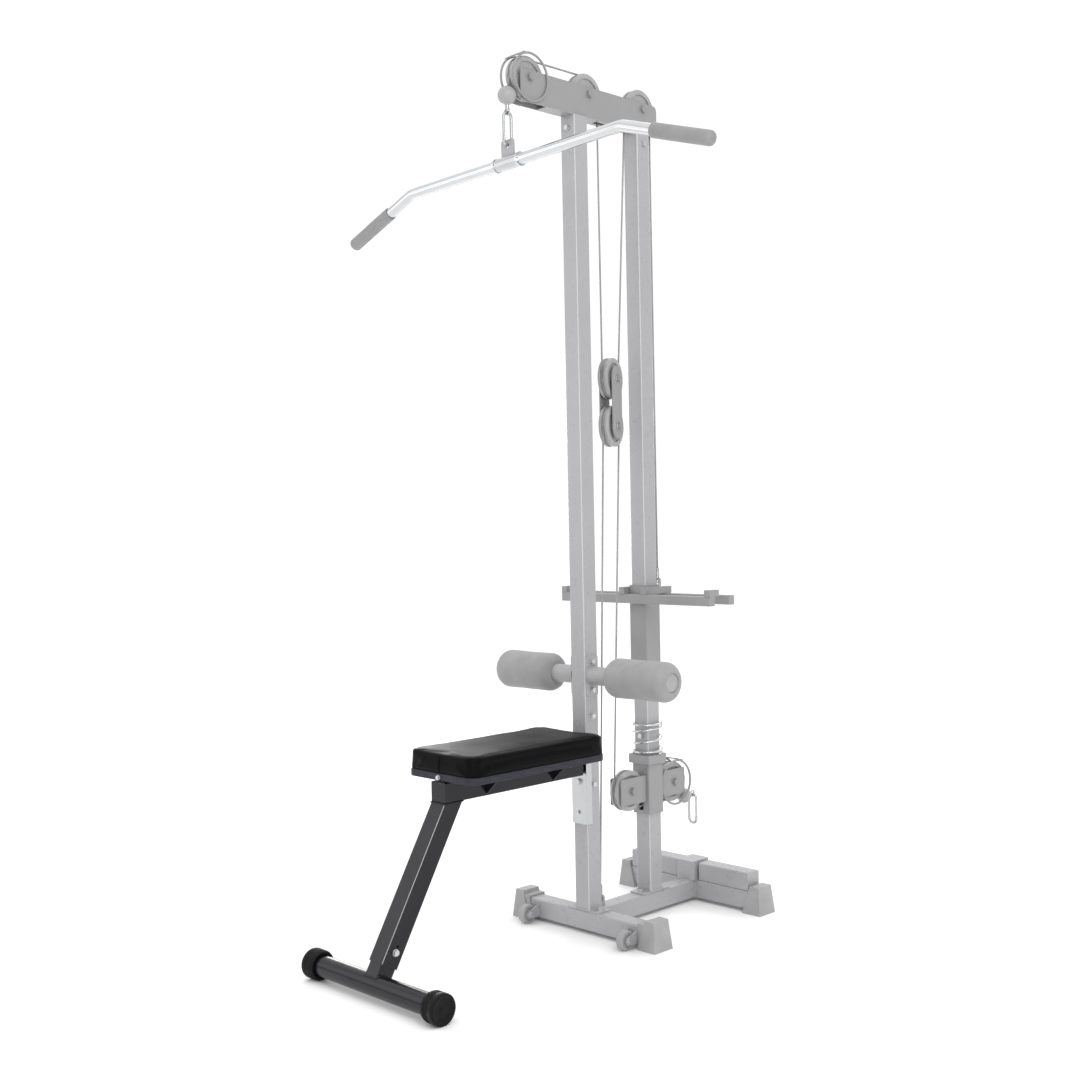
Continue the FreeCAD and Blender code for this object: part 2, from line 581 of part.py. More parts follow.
# ---- floating block ----
def float_block():
    def twist(shape):
        return turned_about_z(shape, FLOAT_TWIST, 0, FLOAT_Y)

    plates = []
    for side in (-1, 1):
        x0, x1 = sorted((side * CHEEK_IN, side * CHEEK_OUT))
        plate = round_box(x0, x1, FLOAT_Y - FLOAT_HALF, FLOAT_Y + FLOAT_HALF,
                          FLOAT_LOWER_Z - FLOAT_REACH, FLOAT_UPPER_Z + FLOAT_REACH, "x", FLOAT_HALF - 1)
        for z in (FLOAT_LOWER_Z, FLOAT_UPPER_Z):
            plate = plate.cut(cheek_hole(FLOAT_Y, z))
        plates.append(twist(plate))
    save("float_plates", *plates)

    axles = []
    for z in (FLOAT_LOWER_Z, FLOAT_UPPER_Z):
        axles.extend(twist(part) for part in axle_with_spacers(FLOAT_Y, z))
    save("float_axles", *axles)
    save("float_pulley_upper", twist(pulley(0, FLOAT_Y, FLOAT_UPPER_Z)))
    save("float_pulley_lower", twist(pulley(0, FLOAT_Y, FLOAT_LOWER_Z)))
    under = arc_rod((0, FLOAT_Y, FLOAT_UPPER_Z), "x", PITCH_R, CABLE_R, 180, 180)
    over = arc_rod((0, FLOAT_Y, FLOAT_LOWER_Z), "x", PITCH_R, CABLE_R, 0, 180)
    under = twist(under)
    over = twist(over)
    save("float_cables", under, over)
    lat_cable(under)
    low_cable(over)


# ---- cables ----
def straight(start, end, *ends):
    """A straight stretch of cable, trimmed where it meets the pieces in ends."""
    cable = rod(start, end, CABLE_R)
    for piece in ends:
        cable = cable.cut(piece)
    return cable


def lat_cable(under):
    """The cable from the hanging bar, over the top pulleys and round the floating block, to the carriage."""
    front, mid, rear = (TOP_PULLEY_Y[name] for name in ("front", "mid", "rear"))
    top = TOP_PULLEY_Z + PITCH_R
    away_y = front - HOOK_Y
    away_z = TOP_PULLEY_Z - LAT_BALL_Z
    lean = math.atan2(away_z, away_y) + math.asin(PITCH_R / math.hypot(away_y, away_z))
    leave_y = front - PITCH_R * math.sin(lean)
    leave_z = TOP_PULLEY_Z + PITCH_R * math.cos(lean)
    ball_y = HOOK_Y + LAT_BALL_R * math.cos(lean)
    ball_z = LAT_BALL_Z + LAT_BALL_R * math.sin(lean)
    drop = straight((0, ball_y, ball_z), (0, leave_y, leave_z))
    over_front = arc_rod((0, front, TOP_PULLEY_Z), "x", PITCH_R, CABLE_R, 90, math.degrees(lean))
    run = straight((0, front, top), (0, mid, top))
    over_mid = arc_rod((0, mid, TOP_PULLEY_Z), "x", PITCH_R, CABLE_R, 0, 90)
    over_rear = arc_rod((0, rear, TOP_PULLEY_Z), "x", PITCH_R, CABLE_R, 0, 180)
    save("lat_cable_fixed", drop, over_front, run, over_mid, over_rear)

    block_front, block_back = block_sides(FLOAT_UPPER_Z, CABLE_GAP)
    save("lat_cable_mid", straight((0, mid + PITCH_R, TOP_PULLEY_Z), block_front, over_mid, under))
    save("lat_cable_back", straight(block_back, (0, rear - PITCH_R, TOP_PULLEY_Z), over_rear, under))
    save("lat_cable_rear", straight((0, rear + PITCH_R, CARRIAGE_EYE_Z + EYE_R + 25), (0, rear + PITCH_R, TOP_PULLEY_Z)))


def low_cable(over):
    """The cable from the base rail, over the floating block and under the low pulleys, to the row hook."""
    front = LOW_PULLEY_Y["front"]
    anchor = eye_lug(ANCHOR_Y - 13, ANCHOR_Y + 13, ANCHOR_Y, BASE_TOP, ANCHOR_EYE_Z)
    anchor_eye = cable_eye(ANCHOR_Y, ANCHOR_EYE_Z, "y")
    save("cable_anchor", anchor, anchor_eye)

    under_front = arc_rod((0, front, LOW_PULLEY_Z), "x", PITCH_R, CABLE_R, 180, 90)
    back_run = straight((0, front, ROW_Z), (0, ROW_BALL_Y - ROW_BALL_R, ROW_Z))
    save("low_cable_fixed", under_front, back_run)

    block_front, block_back = block_sides(FLOAT_LOWER_Z, -CABLE_GAP)
    anchor_top = (0, ANCHOR_Y, ANCHOR_EYE_Z + EYE_R + 25)
    save("low_cable_front", straight(anchor_top, block_front, anchor_eye, over))
    save("low_cable_back", straight(block_back, (0, front - PITCH_R, LOW_PULLEY_Z), under_front, over))


def block_sides(z, gap):
    """Where a cable comes within a gap of the front and the back of a floating pulley at height z."""
    twist = math.radians(FLOAT_TWIST)
    across = PITCH_R * math.sin(twist)
    along = PITCH_R * math.cos(twist)
    return (across, FLOAT_Y - along, z + gap), (-across, FLOAT_Y + along, z + gap)


# ---- hooks ----
def link(y, top_z):
    """A spring link in the YZ plane: its body, open on the -Y side, and the gate that closes it."""
    upper = top_z - LINK_WIRE - LINK_R
    lower = top_z - LINK_LENGTH + LINK_WIRE + LINK_R
    gate_low = lower + 8
    gate_high = upper + 3
    body = arc_rod((0, y, upper), "x", LINK_R, LINK_WIRE, 0, 180)
    body = body.fuse(arc_rod((0, y, lower), "x", LINK_R, LINK_WIRE, 180, 180))
    body = body.fuse(rod((0, y + LINK_R, lower), (0, y + LINK_R, upper), LINK_WIRE))
    body = body.fuse(rod((0, y - LINK_R, lower), (0, y - LINK_R, gate_low - 1.6), LINK_WIRE))
    body = body.cut(box(-6, 6, y - LINK_R - 6, y - 6, upper, gate_high + 1.4))
    gate = rod((0, y - LINK_R, gate_low), (0, y - LINK_R, gate_high), 3.4)
    return body, gate


def lat_hook():
    ball = Part.makeSphere(LAT_BALL_R, Vector(0, HOOK_Y, LAT_BALL_Z))
    save("lat_ball", ball)
    ferrule = rod((0, HOOK_Y, LAT_EYE_Z + EYE_R - 2), (0, HOOK_Y, LAT_BALL_Z - LAT_BALL_R + 0.5), FERRULE_R)
    eye = arc_rod((0, HOOK_Y, LAT_EYE_Z), "y", EYE_R, EYE_WIRE, 0, 360)
    save("lat_cable_end", ferrule.fuse(eye).cut(ball))
    body, gate = link(HOOK_Y, LAT_EYE_Z - 1.4 + LINK_WIRE)
    save("lat_link", body)
    save("lat_gate", gate)


def row_hook():
    ball = Part.makeSphere(ROW_BALL_R, Vector(0, ROW_BALL_Y, ROW_Z))
    save("row_ball", ball)
    ferrule = rod((0, ROW_BALL_Y + ROW_BALL_R - 1, ROW_Z), (0, ROW_EYE_Y - EYE_R + 2, ROW_Z), FERRULE_R)
    eye = arc_rod((0, ROW_EYE_Y, ROW_Z), "x", EYE_R, EYE_WIRE, 0, 360)
    save("row_cable_end", ferrule.fuse(eye).cut(ball))
    for name, piece in zip(("row_link", "row_gate"), link(0, ROW_Z - 1.4 + LINK_WIRE)):
        piece.rotate(Vector(0, 0, 0), Vector(0, 0, 1), 90)
        piece.translate(Vector(0, ROW_EYE_Y, 0))
        save(name, piece)


# ---- lat bar ----
def swept(path, start, side, radius):
    """A solid round bar along one half of the grip bar."""
    section = Part.Wire([Part.makeCircle(radius, start, Vector(side, 0, 0))])
    return path.makePipeShell([section], True, False)


def lat_bar():
    hang_z = LAT_EYE_Z - 1.4 + LINK_WIRE - LINK_LENGTH + LINK_WIRE - 1.6
    plate = round_box(-22, 22, HOOK_Y - 2.5, HOOK_Y + 2.5, GRIP_BAR_Z + 12, hang_z + 15, "y", 6.0)
    plate = plate.cut(rod((0, HOOK_Y - 5, hang_z), (0, HOOK_Y + 5, hang_z), 6.5))
    sleeve = rod((-38, HOOK_Y, GRIP_BAR_Z), (38, HOOK_Y, GRIP_BAR_Z), HANGER_R)
    hanger = plate.fuse(sleeve).cut(rod((-40, HOOK_Y, GRIP_BAR_Z), (40, HOOK_Y, GRIP_BAR_Z), GRIP_BAR_R + RUNNING))

    drop = math.radians(GRIP_DROP)
    cut_back = GRIP_BEND_R * math.tan(drop / 2)
    sag = GRIP_BEND_R / math.cos(drop / 2) - GRIP_BEND_R
    tip_z = GRIP_BAR_Z - (GRIP_BAR_REACH - GRIP_BAR_HALF) * math.tan(drop)
    middle = Vector(0, HOOK_Y, GRIP_BAR_Z)
    grips = []
    halves = []
    for side in (-1, 1):
        corner = Vector(side * GRIP_BAR_HALF, HOOK_Y, GRIP_BAR_Z)
        tip = Vector(side * GRIP_BAR_REACH, HOOK_Y, tip_z)
        way = (tip - corner).normalize()
        leave = corner - Vector(side * cut_back, 0, 0)
        join = corner + way * cut_back
        away = (corner - (leave + join) * 0.5).normalize()
        path = Part.Wire([Part.makeLine(middle, leave),
                          Part.Arc(leave, corner - away * sag, join).toShape(),
                          Part.makeLine(join, tip - way * 4)])
        outer, inner = (swept(path, middle, side, radius) for radius in (GRIP_BAR_R, GRIP_BAR_R - GRIP_BAR_WALL))
        collar = pipe((side * 38.4, HOOK_Y, GRIP_BAR_Z), (side * 45, HOOK_Y, GRIP_BAR_Z), 18.0, GRIP_BAR_R - 1)
        halves.append(outer.cut(inner).fuse(collar))
        grip_start = tip - way * GRIP_LENGTH
        grip = Part.makeCylinder(17.5, GRIP_LENGTH, grip_start, way)
        tip_edges = [edge for edge in grip.Edges if edge.Closed and (edge.CenterOfMass - tip).Length < 1]
        grip = grip.makeFillet(7.0, tip_edges)
        grips.append(grip.cut(Part.makeCylinder(GRIP_BAR_R, GRIP_LENGTH - 3.5, grip_start - way * 0.5, way)))
    bar = halves[0].fuse(halves[1]).removeSplitter()
    pivot = Vector(0, HOOK_Y, hang_z)
    for shape in [hanger, bar] + grips:
        shape.rotate(pivot, Vector(0, 1, 0), -BAR_TILT)
    save("bar_hanger", hanger)
    save("lat_bar", bar)
    save("bar_grips", *grips)


# ---- seat ----
def post_piece(size, wall, start, length):
    """A square tube along the slanted post, start mm down from the rail's underside."""
    half = size / 2
    tube = square_tube(-half, half, -half, half, -start - length, -start, "z", wall, 3.0)
    tube.rotate(Vector(0, 0, 0), Vector(1, 0, 0), -POST_LEAN)
    tube.translate(Vector(0, POST_TOP_Y, RAIL_LOW))
    return tube


def post_point(down):
    lean = math.radians(POST_LEAN)
    return (0, POST_TOP_Y - down * math.sin(lean), RAIL_LOW - down * math.cos(lean))


def seat_fasteners():
    """The screws under the seat board, the bolt that locks the post and the screw in the board's front edge."""
    group = []
    for y in STRAP_Y:
        for side in (-1, 1):
            group.append(bolt((side * SCREW_X, y, RAIL_TOP), (0, 0, 1), 12.0, 3.0, nut=False))
    x, y, z = post_point(POST_BOLT_DOWN)
    group.append(bolt((POST / 2, y, z), (-1, 0, 0), POST))
    group.append(bolt((0, SEAT_FRONT, FRONT_SCREW_Z), (0, 1, 0), 14.0, 3.0, nut=False))
    return group


def seat():
    rail = square_tube(-H, H, RAIL_FRONT, RAIL_BACK, RAIL_LOW, RAIL_TOP, "y", WALL, 3.0)
    for end in (RAIL_FRONT, RAIL_BACK - 3):
        rail = rail.fuse(box(-H + WALL, H - WALL, end, end + 3, RAIL_LOW + WALL, RAIL_TOP - WALL))
    rail = rail.fuse(box(-12, 12, RAIL_BACK, -H - 3, RAIL_LOW + 6, RAIL_LOW + 34))
    for y in STRAP_Y:
        strap = box(-95, 95, y - 20, y + 20, RAIL_TOP, RAIL_TOP + 3)
        for side in (-1, 1):
            points = [Vector(side * H, y - 1.5, RAIL_LOW + 4), Vector(side * 76, y - 1.5, RAIL_TOP),
                      Vector(side * H, y - 1.5, RAIL_TOP), Vector(side * H, y - 1.5, RAIL_LOW + 4)]
            gusset = Part.Face(Part.makePolygon(points)).extrude(Vector(0, 3, 0))
            strap = strap.fuse(gusset)
            strap = strap.cut(hole((side * SCREW_X, y, RAIL_TOP), (0, 0, 1), 3, 3.0))
        rail = rail.fuse(strap)
    save("seat_rail", rail)

    post = post_piece(POST, POST_WALL, -40, POST_LENGTH + 40)
    post = post.common(box(-60, 60, -900, 0, 0, RAIL_LOW))
    _, bolt_y, bolt_z = post_point(POST_BOLT_DOWN)
    post = post.cut(hole((POST / 2, bolt_y, bolt_z), (-1, 0, 0), POST))
    _, y, z = post_point(POST_BOLT_DOWN - 14)
    post = post.cut(rod((-POST, y, z), (POST, y, z), 3.5))
    save("seat_post", post)

    board = round_box(-SEAT_HALF + 3, SEAT_HALF - 3, SEAT_FRONT + 3, SEAT_BACK - 3, BOARD_LOW, BOARD_LOW + BOARD,
                      "z", 27.0)
    for y in STRAP_Y:
        for side in (-1, 1):
            board = board.cut(rod((side * SCREW_X, y, BOARD_LOW - 1), (side * SCREW_X, y, RAIL_TOP + 12), 3.0))
    board = board.cut(rod((0, SEAT_FRONT, FRONT_SCREW_Z), (0, SEAT_FRONT + 14, FRONT_SCREW_Z), 3.0))
    save("seat_board", board)
    pad = round_box(-SEAT_HALF, SEAT_HALF, SEAT_FRONT, SEAT_BACK, BOARD_LOW + BOARD, PAD_TOP, "z", 30.0)
    pad = pad.makeFillet(8.0, [edge for edge in pad.Edges if edge.CenterOfMass.z > PAD_TOP - 1])
    save("seat_pad", pad)


def foot():
    top_down = POST_LENGTH - 120
    foot_down = (RAIL_LOW - FOOT_Z) / math.cos(math.radians(POST_LEAN))
    inner_tube = POST - 2 * POST_WALL - 2 * FIT
    tube = post_piece(inner_tube, WALL, top_down, foot_down - top_down)
    cross = rod((-FOOT_HALF - 4, FOOT_Y, FOOT_Z), (FOOT_HALF + 4, FOOT_Y, FOOT_Z), FOOT_TUBE_R)
    tube = tube.cut(cross)
    slot_r = 4.6
    slot = box(-POST, POST, -slot_r, slot_r, -SLOT, 0)
    for z in (-SLOT, 0):
        slot = slot.fuse(rod((-POST, 0, z), (POST, 0, z), slot_r))
    slot.rotate(Vector(0, 0, 0), Vector(1, 0, 0), -POST_LEAN)
    slot.translate(Vector(*post_point(POST_BOLT_DOWN - SLOT)))
    tube = tube.cut(slot)
    cross = cross.cut(rod((-300, FOOT_Y, FOOT_Z), (300, FOOT_Y, FOOT_Z), FOOT_TUBE_R - 2))
    save("foot_frame", tube.fuse(cross))

    caps = []
    for side in (-1, 1):
        body = rod((side * (FOOT_HALF - 32), FOOT_Y, FOOT_Z), (side * (FOOT_HALF + 10), FOOT_Y, FOOT_Z), FOOT_CAP_R)
        body = body.makeFillet(4.0, [edge for edge in body.Edges if edge.Closed and edge.Length > 100])
        body = body.cut(rod((side * (FOOT_HALF - 60), FOOT_Y, FOOT_Z), (side * (FOOT_HALF + 4), FOOT_Y, FOOT_Z),
                            FOOT_TUBE_R))
        dish = rod((side * (FOOT_HALF + 7), FOOT_Y, FOOT_Z), (side * (FOOT_HALF + 14), FOOT_Y, FOOT_Z), 27)
        caps.append(body.cut(dish))
    save("foot_caps", *caps)


def seat_bracket():
    """A plated U bracket on the front upright that the seat rail hooks onto."""
    outer = box(-H - BRACKET, H + BRACKET, -H - BRACKET, -9, BRACKET_LOW, BRACKET_TOP)
    inner = box(-H, H, -H, 0, BRACKET_LOW - 1, BRACKET_TOP + 1)
    bracket = outer.cut(inner)
    bracket = bracket.makeFillet(2.5, [edge for edge in bracket.Edges
                                       if abs(edge.tangentAt(0).z) > 0.99 and abs(edge.CenterOfMass.x) > H + 2
                                       and edge.CenterOfMass.y < -H])
    bracket = bracket.cut(hole((0, -H - BRACKET, BRACKET_BOLT_Z), (0, 1, 0), BRACKET))
    bracket = bracket.cut(rod((0, -40, BRACKET_HOLE_Z), (0, 0, BRACKET_HOLE_Z), 5.0))
    save("seat_bracket", bracket)


base_frame()
boots()
wheels()
uprights()
frame_bolts()
top_beam()
guards()
low_station()
bumper_spring()
rollers()
carriage()
float_block()
lat_hook()
row_hook()
lat_bar()
seat()
foot()
seat_bracket()
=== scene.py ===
"""Looks of a multi station home gym: materials, pad, rollers, cables, welds, light and camera."""
import json
import math

import bmesh
import bpy
import numpy as np
from mathutils import Matrix, Vector, noise


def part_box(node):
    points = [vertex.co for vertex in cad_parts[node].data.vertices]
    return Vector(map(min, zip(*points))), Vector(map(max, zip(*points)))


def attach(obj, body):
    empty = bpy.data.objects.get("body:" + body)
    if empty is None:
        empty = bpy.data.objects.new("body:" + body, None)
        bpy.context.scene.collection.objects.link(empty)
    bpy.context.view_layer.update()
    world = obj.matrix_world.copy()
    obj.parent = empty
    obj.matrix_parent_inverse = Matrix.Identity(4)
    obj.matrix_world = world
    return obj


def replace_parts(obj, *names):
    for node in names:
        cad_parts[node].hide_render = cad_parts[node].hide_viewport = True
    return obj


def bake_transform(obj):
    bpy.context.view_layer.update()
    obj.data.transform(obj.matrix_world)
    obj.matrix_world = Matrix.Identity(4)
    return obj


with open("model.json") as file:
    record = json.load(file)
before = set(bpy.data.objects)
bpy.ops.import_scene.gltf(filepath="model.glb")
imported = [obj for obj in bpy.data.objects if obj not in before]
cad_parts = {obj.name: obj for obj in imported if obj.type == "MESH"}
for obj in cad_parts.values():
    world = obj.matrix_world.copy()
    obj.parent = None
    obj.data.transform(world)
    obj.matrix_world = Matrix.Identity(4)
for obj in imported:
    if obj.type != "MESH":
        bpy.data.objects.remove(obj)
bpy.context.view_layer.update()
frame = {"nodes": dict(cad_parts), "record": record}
nodes = frame["nodes"]
slot_of = {part["node"]: part["material_slot"] for part in frame["record"]["subparts"]}

MM = 0.001
X, Y, Z = Vector((1, 0, 0)), Vector((0, 1, 0)), Vector((0, 0, 1))

# sizes that the frame doesn't give directly, the same as in the CAD
CABLE_R = 2.5 * MM
TUBE_HALF = 25 * MM             # half width of a frame tube
FOOT_PLATE = 4 * MM             # plate at the foot of an upright
SLEEVE_R = 24 * MM              # tube inside a foam roller
ROLLER_FLANGE_X = 28.3 * MM     # outer face of a roller bar flange
SPRING_WIRE_R = 3 * MM
GRIP_BAR_R = 14 * MM
GRIP_R = 17.5 * MM
GRIP_DROP = 19.3                # degrees by which the ends of the lat bar bend down
BAR_TILT = 1.6                  # degrees by which the lat bar hangs low at one end
HANGER_SLEEVE = 34 * MM         # height of the hanger's sleeve
POST_LEAN = math.radians(30.5)
FOOT_TUBE_R = 25.4 * MM
FOOT_INNER_HALF = 22.4 * MM     # half width of the tube that slides in the seat post
FOOT_CAP = 42 * MM              # length of a cap on the seat foot

# sizes of what only the looks have
SPRING_PITCH = 32 * MM
PAD_CORNER = 30 * MM
PAD_EDGE = 8 * MM               # rounding along the top of the pad
PAD_SHRINK = 1.5 * MM           # the pad starts smaller by this much, and then swells
WELD_R = 2.0 * MM
PROUD = 0.3 * MM                # how far the middle of a weld bead stands off a face
THIN = 0.01 * MM                # radius that closes a turned shape on its axis
CORNER_SHARE = 0.35             # least part of a corner's normal along each of its two faces
CORNER_AREA = 60 * MM * MM      # smaller polygons don't belong to a long corner


# ---- materials ----
class Shader:
    """A Principled material whose textures use the piece's own coordinates, in metres."""

    def __init__(self, name, colour, roughness, metallic=0.0, gloss=0.5):
        self.material = bpy.data.materials.new(name)
        self.material.use_nodes = True
        self.tree = self.material.node_tree
        self.bsdf = self.tree.nodes["Principled BSDF"]
        self.bsdf.inputs["Base Color"].default_value = (*colour, 1)
        self.bsdf.inputs["Roughness"].default_value = roughness
        self.bsdf.inputs["Metallic"].default_value = metallic
        self.bsdf.inputs["Specular IOR Level"].default_value = gloss
        self.coordinates = self.tree.nodes.new("ShaderNodeTexCoord").outputs["Object"]
        self.height = None

    def link(self, source, target):
        self.tree.links.new(source, target)

    def stretched(self, scale):
        """The piece's coordinates, scaled apart along X, Y and Z."""
        node = self.tree.nodes.new("ShaderNodeMapping")
        node.inputs["Scale"].default_value = scale
        self.link(self.coordinates, node.inputs["Vector"])
        return node.outputs["Vector"]

    def noise(self, scale, detail=4.0, vector=None):
        node = self.tree.nodes.new("ShaderNodeTexNoise")
        node.inputs["Scale"].default_value = scale
        node.inputs["Detail"].default_value = detail
        self.link(vector or self.coordinates, node.inputs["Vector"])
        return node.outputs["Fac"]

    def cells(self, scale, feature="DISTANCE_TO_EDGE"):
        node = self.tree.nodes.new("ShaderNodeTexVoronoi")
        node.feature = feature
        node.inputs["Scale"].default_value = scale
        self.link(self.coordinates, node.inputs["Vector"])
        return node.outputs["Distance"]

    def mapped(self, source, low, high, start=0.35, end=0.65):
        """source, from start to end, turned into low to high."""
        node = self.tree.nodes.new("ShaderNodeMapRange")
        for key, value in (("From Min", start), ("From Max", end), ("To Min", low), ("To Max", high)):
            node.inputs[key].default_value = value
        self.link(source, node.inputs["Value"])
        return node.outputs["Result"]

    def tint(self, source, dark, light):
        """The base colour goes from dark to light with source."""
        node = self.tree.nodes.new("ShaderNodeMix")
        node.data_type = "RGBA"
        node.inputs[6].default_value = (*dark, 1)
        node.inputs[7].default_value = (*light, 1)
        self.link(source, node.inputs[0])
        self.link(node.outputs[2], self.bsdf.inputs["Base Color"])

    def vary_roughness(self, source):
        self.link(source, self.bsdf.inputs["Roughness"])

    def bump(self, source, strength, depth):
        """Adds a bump of that depth, in metres, on top of the ones before it."""
        node = self.tree.nodes.new("ShaderNodeBump")
        node.inputs["Strength"].default_value = strength
        node.inputs["Distance"].default_value = depth
        self.link(source, node.inputs["Height"])
        if self.height:
            self.link(self.height, node.inputs["Normal"])
        self.height = node.outputs["Normal"]
        self.link(self.height, self.bsdf.inputs["Normal"])


def scaled(colour, factor):
    return tuple(value * factor for value in colour)


def powder_coat(name, colour, rough, spread=0.015, gloss=0.5):
    """Satin powder coat: a fine pebble with slow changes of shade and gloss."""
    shader = Shader(name, colour, rough, gloss=gloss)
    shader.tint(shader.mapped(shader.noise(9, 5), 0, 1), scaled(colour, 1 - spread), scaled(colour, 1 + spread))
    shader.vary_roughness(shader.mapped(shader.noise(40, 6), rough - 0.01, rough + 0.015))
    shader.bump(shader.noise(1500, 2), 0.08, 0.1 * MM)
    shader.bump(shader.noise(240, 2), 0.03, 0.1 * MM)
    return shader


def moulded(name, colour, rough, grain=900, depth=0.12 * MM, gloss=0.5):
    """Moulded nylon or rubber: a dull grain, with slightly paler patches where it is handled."""
    shader = Shader(name, colour, rough, gloss=gloss)
    shader.tint(shader.mapped(shader.noise(22, 6), 0, 1), scaled(colour, 0.93), scaled(colour, 1.07))
    shader.vary_roughness(shader.mapped(shader.noise(70, 4), rough - 0.08, min(rough + 0.08, 1)))
    shader.bump(shader.noise(grain, 3), 0.35, depth)
    return shader


def plated(name, colour, rough, brush):
    """Plated steel: very fine drawn lines and slow changes of gloss."""
    shader = Shader(name, colour, rough, 1.0)
    shader.tint(shader.mapped(shader.noise(8, 2), 0, 1), scaled(colour, 0.97), scaled(colour, 1.02))
    shader.vary_roughness(shader.mapped(shader.noise(12, 3), rough * 0.9, rough * 1.15))
    shader.bump(shader.noise(1, 2, shader.stretched(brush)), 0.03, 0.02 * MM)
    return shader


def vinyl(name, colour):
    """Grained upholstery vinyl: small irregular cells with fine creases and a soft sheen."""
    shader = Shader(name, colour, 0.40, gloss=0.07)
    shader.tint(shader.mapped(shader.noise(9, 3), 0, 1), scaled(colour, 0.85), scaled(colour, 1.2))
    shader.vary_roughness(shader.mapped(shader.noise(6, 3), 0.39, 0.46))
    shader.bump(shader.mapped(shader.cells(760), 0, 1, 0.0, 0.12), 0.25, 0.10 * MM)
    shader.bump(shader.noise(160, 5), 0.15, 0.25 * MM)
    return shader


def foam_skin(name, colour):
    """The closed skin of a foam roller: dull, with tiny pores and shallow dents."""
    shader = Shader(name, colour, 0.78)
    shader.tint(shader.mapped(shader.noise(26, 5), 0, 1), scaled(colour, 0.93), scaled(colour, 1.06))
    shader.bump(shader.mapped(shader.cells(620, "F1"), 0, 1, 0.1, 0.7), 0.3, 0.15 * MM)
    shader.bump(shader.noise(60, 5), 0.25, 0.5 * MM)
    shader.bsdf.inputs["Sheen Weight"].default_value = 0.1
    return shader


def matt_board(name, colour):
    """Black painted plywood edge: faint layers along Z."""
    shader = Shader(name, colour, 0.6, gloss=0.3)
    shader.tint(shader.mapped(shader.noise(1, 3, shader.stretched((25, 25, 700))), 0, 1),
                scaled(colour, 0.7), scaled(colour, 1.5))
    shader.bump(shader.noise(1, 3, shader.stretched((60, 60, 900))), 0.3, 0.15 * MM)
    return shader


SHADERS = {
    "frame_paint": powder_coat("frame_paint", (0.378, 0.378, 0.392), 0.28),
    # paler, glossier copies of the frame paints, used as painted highlights on the rounded tube corners
    "frame_painted_highlight": powder_coat("frame_painted_highlight", (0.56, 0.56, 0.575), 0.2),
    "seat_frame_painted_highlight": powder_coat("seat_frame_painted_highlight", (0.32, 0.32, 0.33), 0.15),
    "beam_paint": powder_coat("beam_paint", (0.288, 0.288, 0.293), 0.36),
    "axle_steel": powder_coat("axle_steel", (0.27, 0.27, 0.275), 0.42),
    "seat_frame_paint": powder_coat("seat_frame_paint", (0.008, 0.008, 0.012), 0.22, 0.08, 0.3),
    "chrome": plated("chrome", (0.56, 0.565, 0.575), 0.14, (40, 2500, 2500)),
    "zinc": plated("zinc", (0.48, 0.485, 0.495), 0.24, (900, 900, 60)),
    "bolt_zinc": plated("bolt_zinc", (0.60, 0.605, 0.61), 0.42, (900, 900, 900)),
    "nylon": moulded("nylon", (0.36, 0.36, 0.365), 0.42),
    "foam": foam_skin("foam", (0.30, 0.30, 0.305)),
    "grip_rubber": moulded("grip_rubber", (0.27, 0.27, 0.27), 0.6, 1200),
    "boot_rubber": moulded("boot_rubber", (0.345, 0.345, 0.35), 0.5),
    "black_rubber": moulded("black_rubber", (0.005, 0.005, 0.006), 0.5, 700, gloss=0.15),
    "vinyl": vinyl("vinyl", (0.0020, 0.0020, 0.0026)),
    "board": matt_board("board", (0.022, 0.022, 0.032)),
    "cable_sheath": moulded("cable_sheath", (0.32, 0.32, 0.32), 0.32, 1800, 0.05 * MM),
}


def finish_with(piece, slot, body, smooth=True):
    """Gives a new piece the material of a slot and a body to ride on."""
    piece.data.materials.clear()
    piece.data.materials.append(SHADERS[slot].material)
    piece.data.polygons.foreach_set("use_smooth", [smooth] * len(piece.data.polygons))
    if body:
        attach(piece, body)
    return piece


for node_name, node_object in nodes.items():
    node_object.data.materials.clear()
    node_object.data.materials.append(SHADERS[slot_of[node_name]].material)

nodes["frame_bolts"].data.materials[0] = SHADERS["bolt_zinc"].material


def paint_corner_highlights(node, lean, shader):
    """Paints highlights on the rounded corners of a square tube along Z, or leaning back by lean: a paler, glossier
    paint there stands in for the light that the corners catch.
    """
    mesh = nodes[node].data
    mesh.materials.append(SHADERS[shader].material)
    forward_face = Vector((0, math.cos(lean), -math.sin(lean)))
    tube_way = Vector((0, math.sin(lean), math.cos(lean)))
    for polygon in mesh.polygons:
        sideways, forward_part = abs(polygon.normal.x), abs(polygon.normal.dot(forward_face))
        on_corner = min(sideways, forward_part) > CORNER_SHARE and abs(polygon.normal.dot(tube_way)) < 0.1
        if on_corner and polygon.area > CORNER_AREA:
            polygon.material_index = len(mesh.materials) - 1


# painted highlights along the rounded corners of the uprights and of the seat frame
for upright in ("front_upright", "rear_upright"):
    paint_corner_highlights(upright, 0.0, "frame_painted_highlight")
for leaning in ("seat_post", "foot_frame"):
    paint_corner_highlights(leaning, POST_LEAN, "seat_frame_painted_highlight")

# the sleeve of the bar hanger is bare plated steel, and its plate is painted
hanger = nodes["bar_hanger"].data
hanger.materials.append(SHADERS["zinc"].material)
sleeve_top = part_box("bar_hanger")[0].z + HANGER_SLEEVE
for polygon in hanger.polygons:
    if polygon.center.z < sleeve_top:
        polygon.material_index = 1


# ---- mesh helpers ----
def mesh_object(name, vertices, faces):
    mesh = bpy.data.meshes.new(name)
    mesh.from_pydata([tuple(v) for v in vertices], [], faces)
    mesh.update()
    made = bpy.data.objects.new(name, mesh)
    bpy.context.scene.collection.objects.link(made)
    return made


